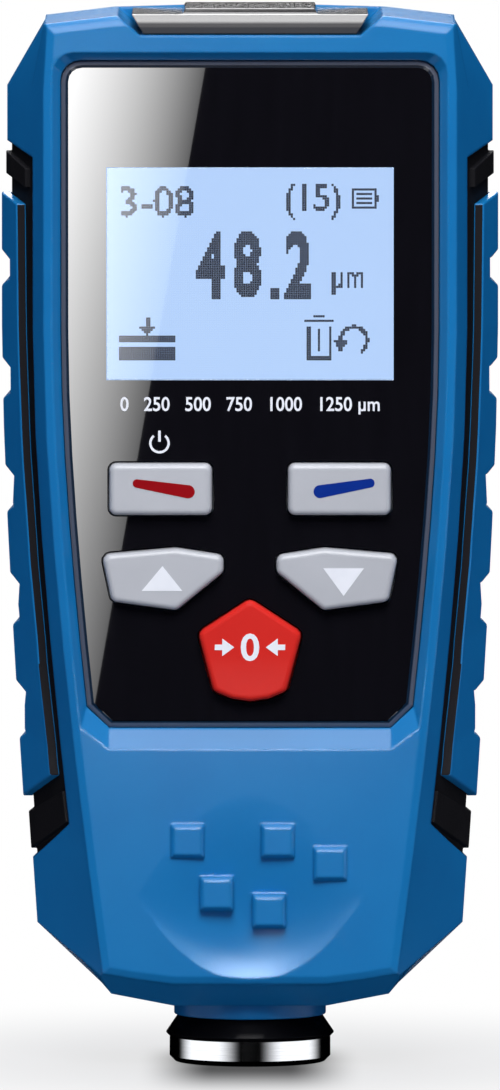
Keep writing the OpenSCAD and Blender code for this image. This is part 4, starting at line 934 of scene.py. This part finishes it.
# %% What the display shows
DIGIT_HEIGHT, DIGIT_Z, THIN, BOLD = 7.3, 87.2, 0.01, 0.035
reading = [
    figures("3-08", 8.0, 3.3, (-10.0, 94.0), bold=THIN),
    figures("(15)", 5.9, 3.9, (6.8, 94.0), bold=THIN),
    figures("4", 3.1, DIGIT_HEIGHT, (-4.2, DIGIT_Z), bold=BOLD),
    figures("8", 3.0, DIGIT_HEIGHT, (-0.3, DIGIT_Z), bold=BOLD),
    bar(2.1, 83.55, 3.1, 84.6),
    figures("2", 3.0, DIGIT_HEIGHT, (5.2, DIGIT_Z), bold=BOLD),
    figures("µm", 3.4, 2.4, (10.6, 85.2), bold=THIN),
]
battery_sign = [
    bar(10.9, 95.15, 13.6, 95.4), bar(10.9, 93.2, 13.6, 93.45), bar(10.9, 93.2, 11.15, 95.4),
    bar(13.35, 93.2, 13.6, 95.4), bar(13.6, 93.9, 14.0, 94.7), bar(11.4, 93.7, 13.1, 94.0),
    bar(11.4, 94.2, 13.1, 94.45), bar(11.4, 94.65, 13.1, 94.9),
]
layer_sign = [
    bar(-14.2, 76.9, -8.0, 78.4), bar(-14.2, 78.9, -8.0, 79.4), bar(-11.35, 80.1, -10.85, 81.4),
    shape((-12.1, 80.6), (-11.1, 79.6), (-10.1, 80.6)),
]
bin_sign = [
    bar(5.9, 80.9, 9.1, 81.3), bar(6.9, 81.5, 8.1, 81.8), bar(6.1, 77.1, 6.5, 80.6),
    bar(8.5, 77.1, 8.9, 80.6), bar(6.1, 76.9, 8.9, 77.3), bar(7.35, 77.8, 7.65, 80.3),
]
back_arrow = [arc((11.2, 79.0), 1.25, 1.65, -60, 200), shape((9.0, 79.0), (10.6, 79.0), (9.75, 77.7))]
screen_parts = reading + battery_sign + layer_sign + bin_sign + back_arrow
print("display artwork has", len(screen_parts), "parts")

# %% Dots on the glass
DOT_FILM, DOT_SHARE = 0.04, 0.97
glass_low, glass_high = (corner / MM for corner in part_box("lcd_glass"))
screen_middle = (glass_low.z + glass_high.z) / 2
artwork = bpy.data.objects.new("display_dots", artwork_mesh("display_artwork", screen_parts, glass_low.y))
scene.collection.objects.link(artwork)
matrix = artwork.modifiers.new("dots", "NODES")
matrix.node_group = dot_tree
for label, value in (("Centre", (0, (glass_low.y - DOT_FILM / 2) * MM, screen_middle * MM)),
                     ("Width", COLUMNS * DOT_PITCH * MM), ("Height", ROWS * DOT_PITCH * MM),
                     ("Dot Pitch", DOT_PITCH * MM), ("Dot Size", DOT_SHARE * DOT_PITCH * MM),
                     ("Film", DOT_FILM * MM), ("Ink", cell_dot)):
    matrix[dot_inputs[label]] = value
dots = plain_mesh(artwork)
artwork.modifiers.clear()
artwork.data = dots
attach(artwork, "root")
print("dots shown:", len(artwork.data.polygons) // 6)
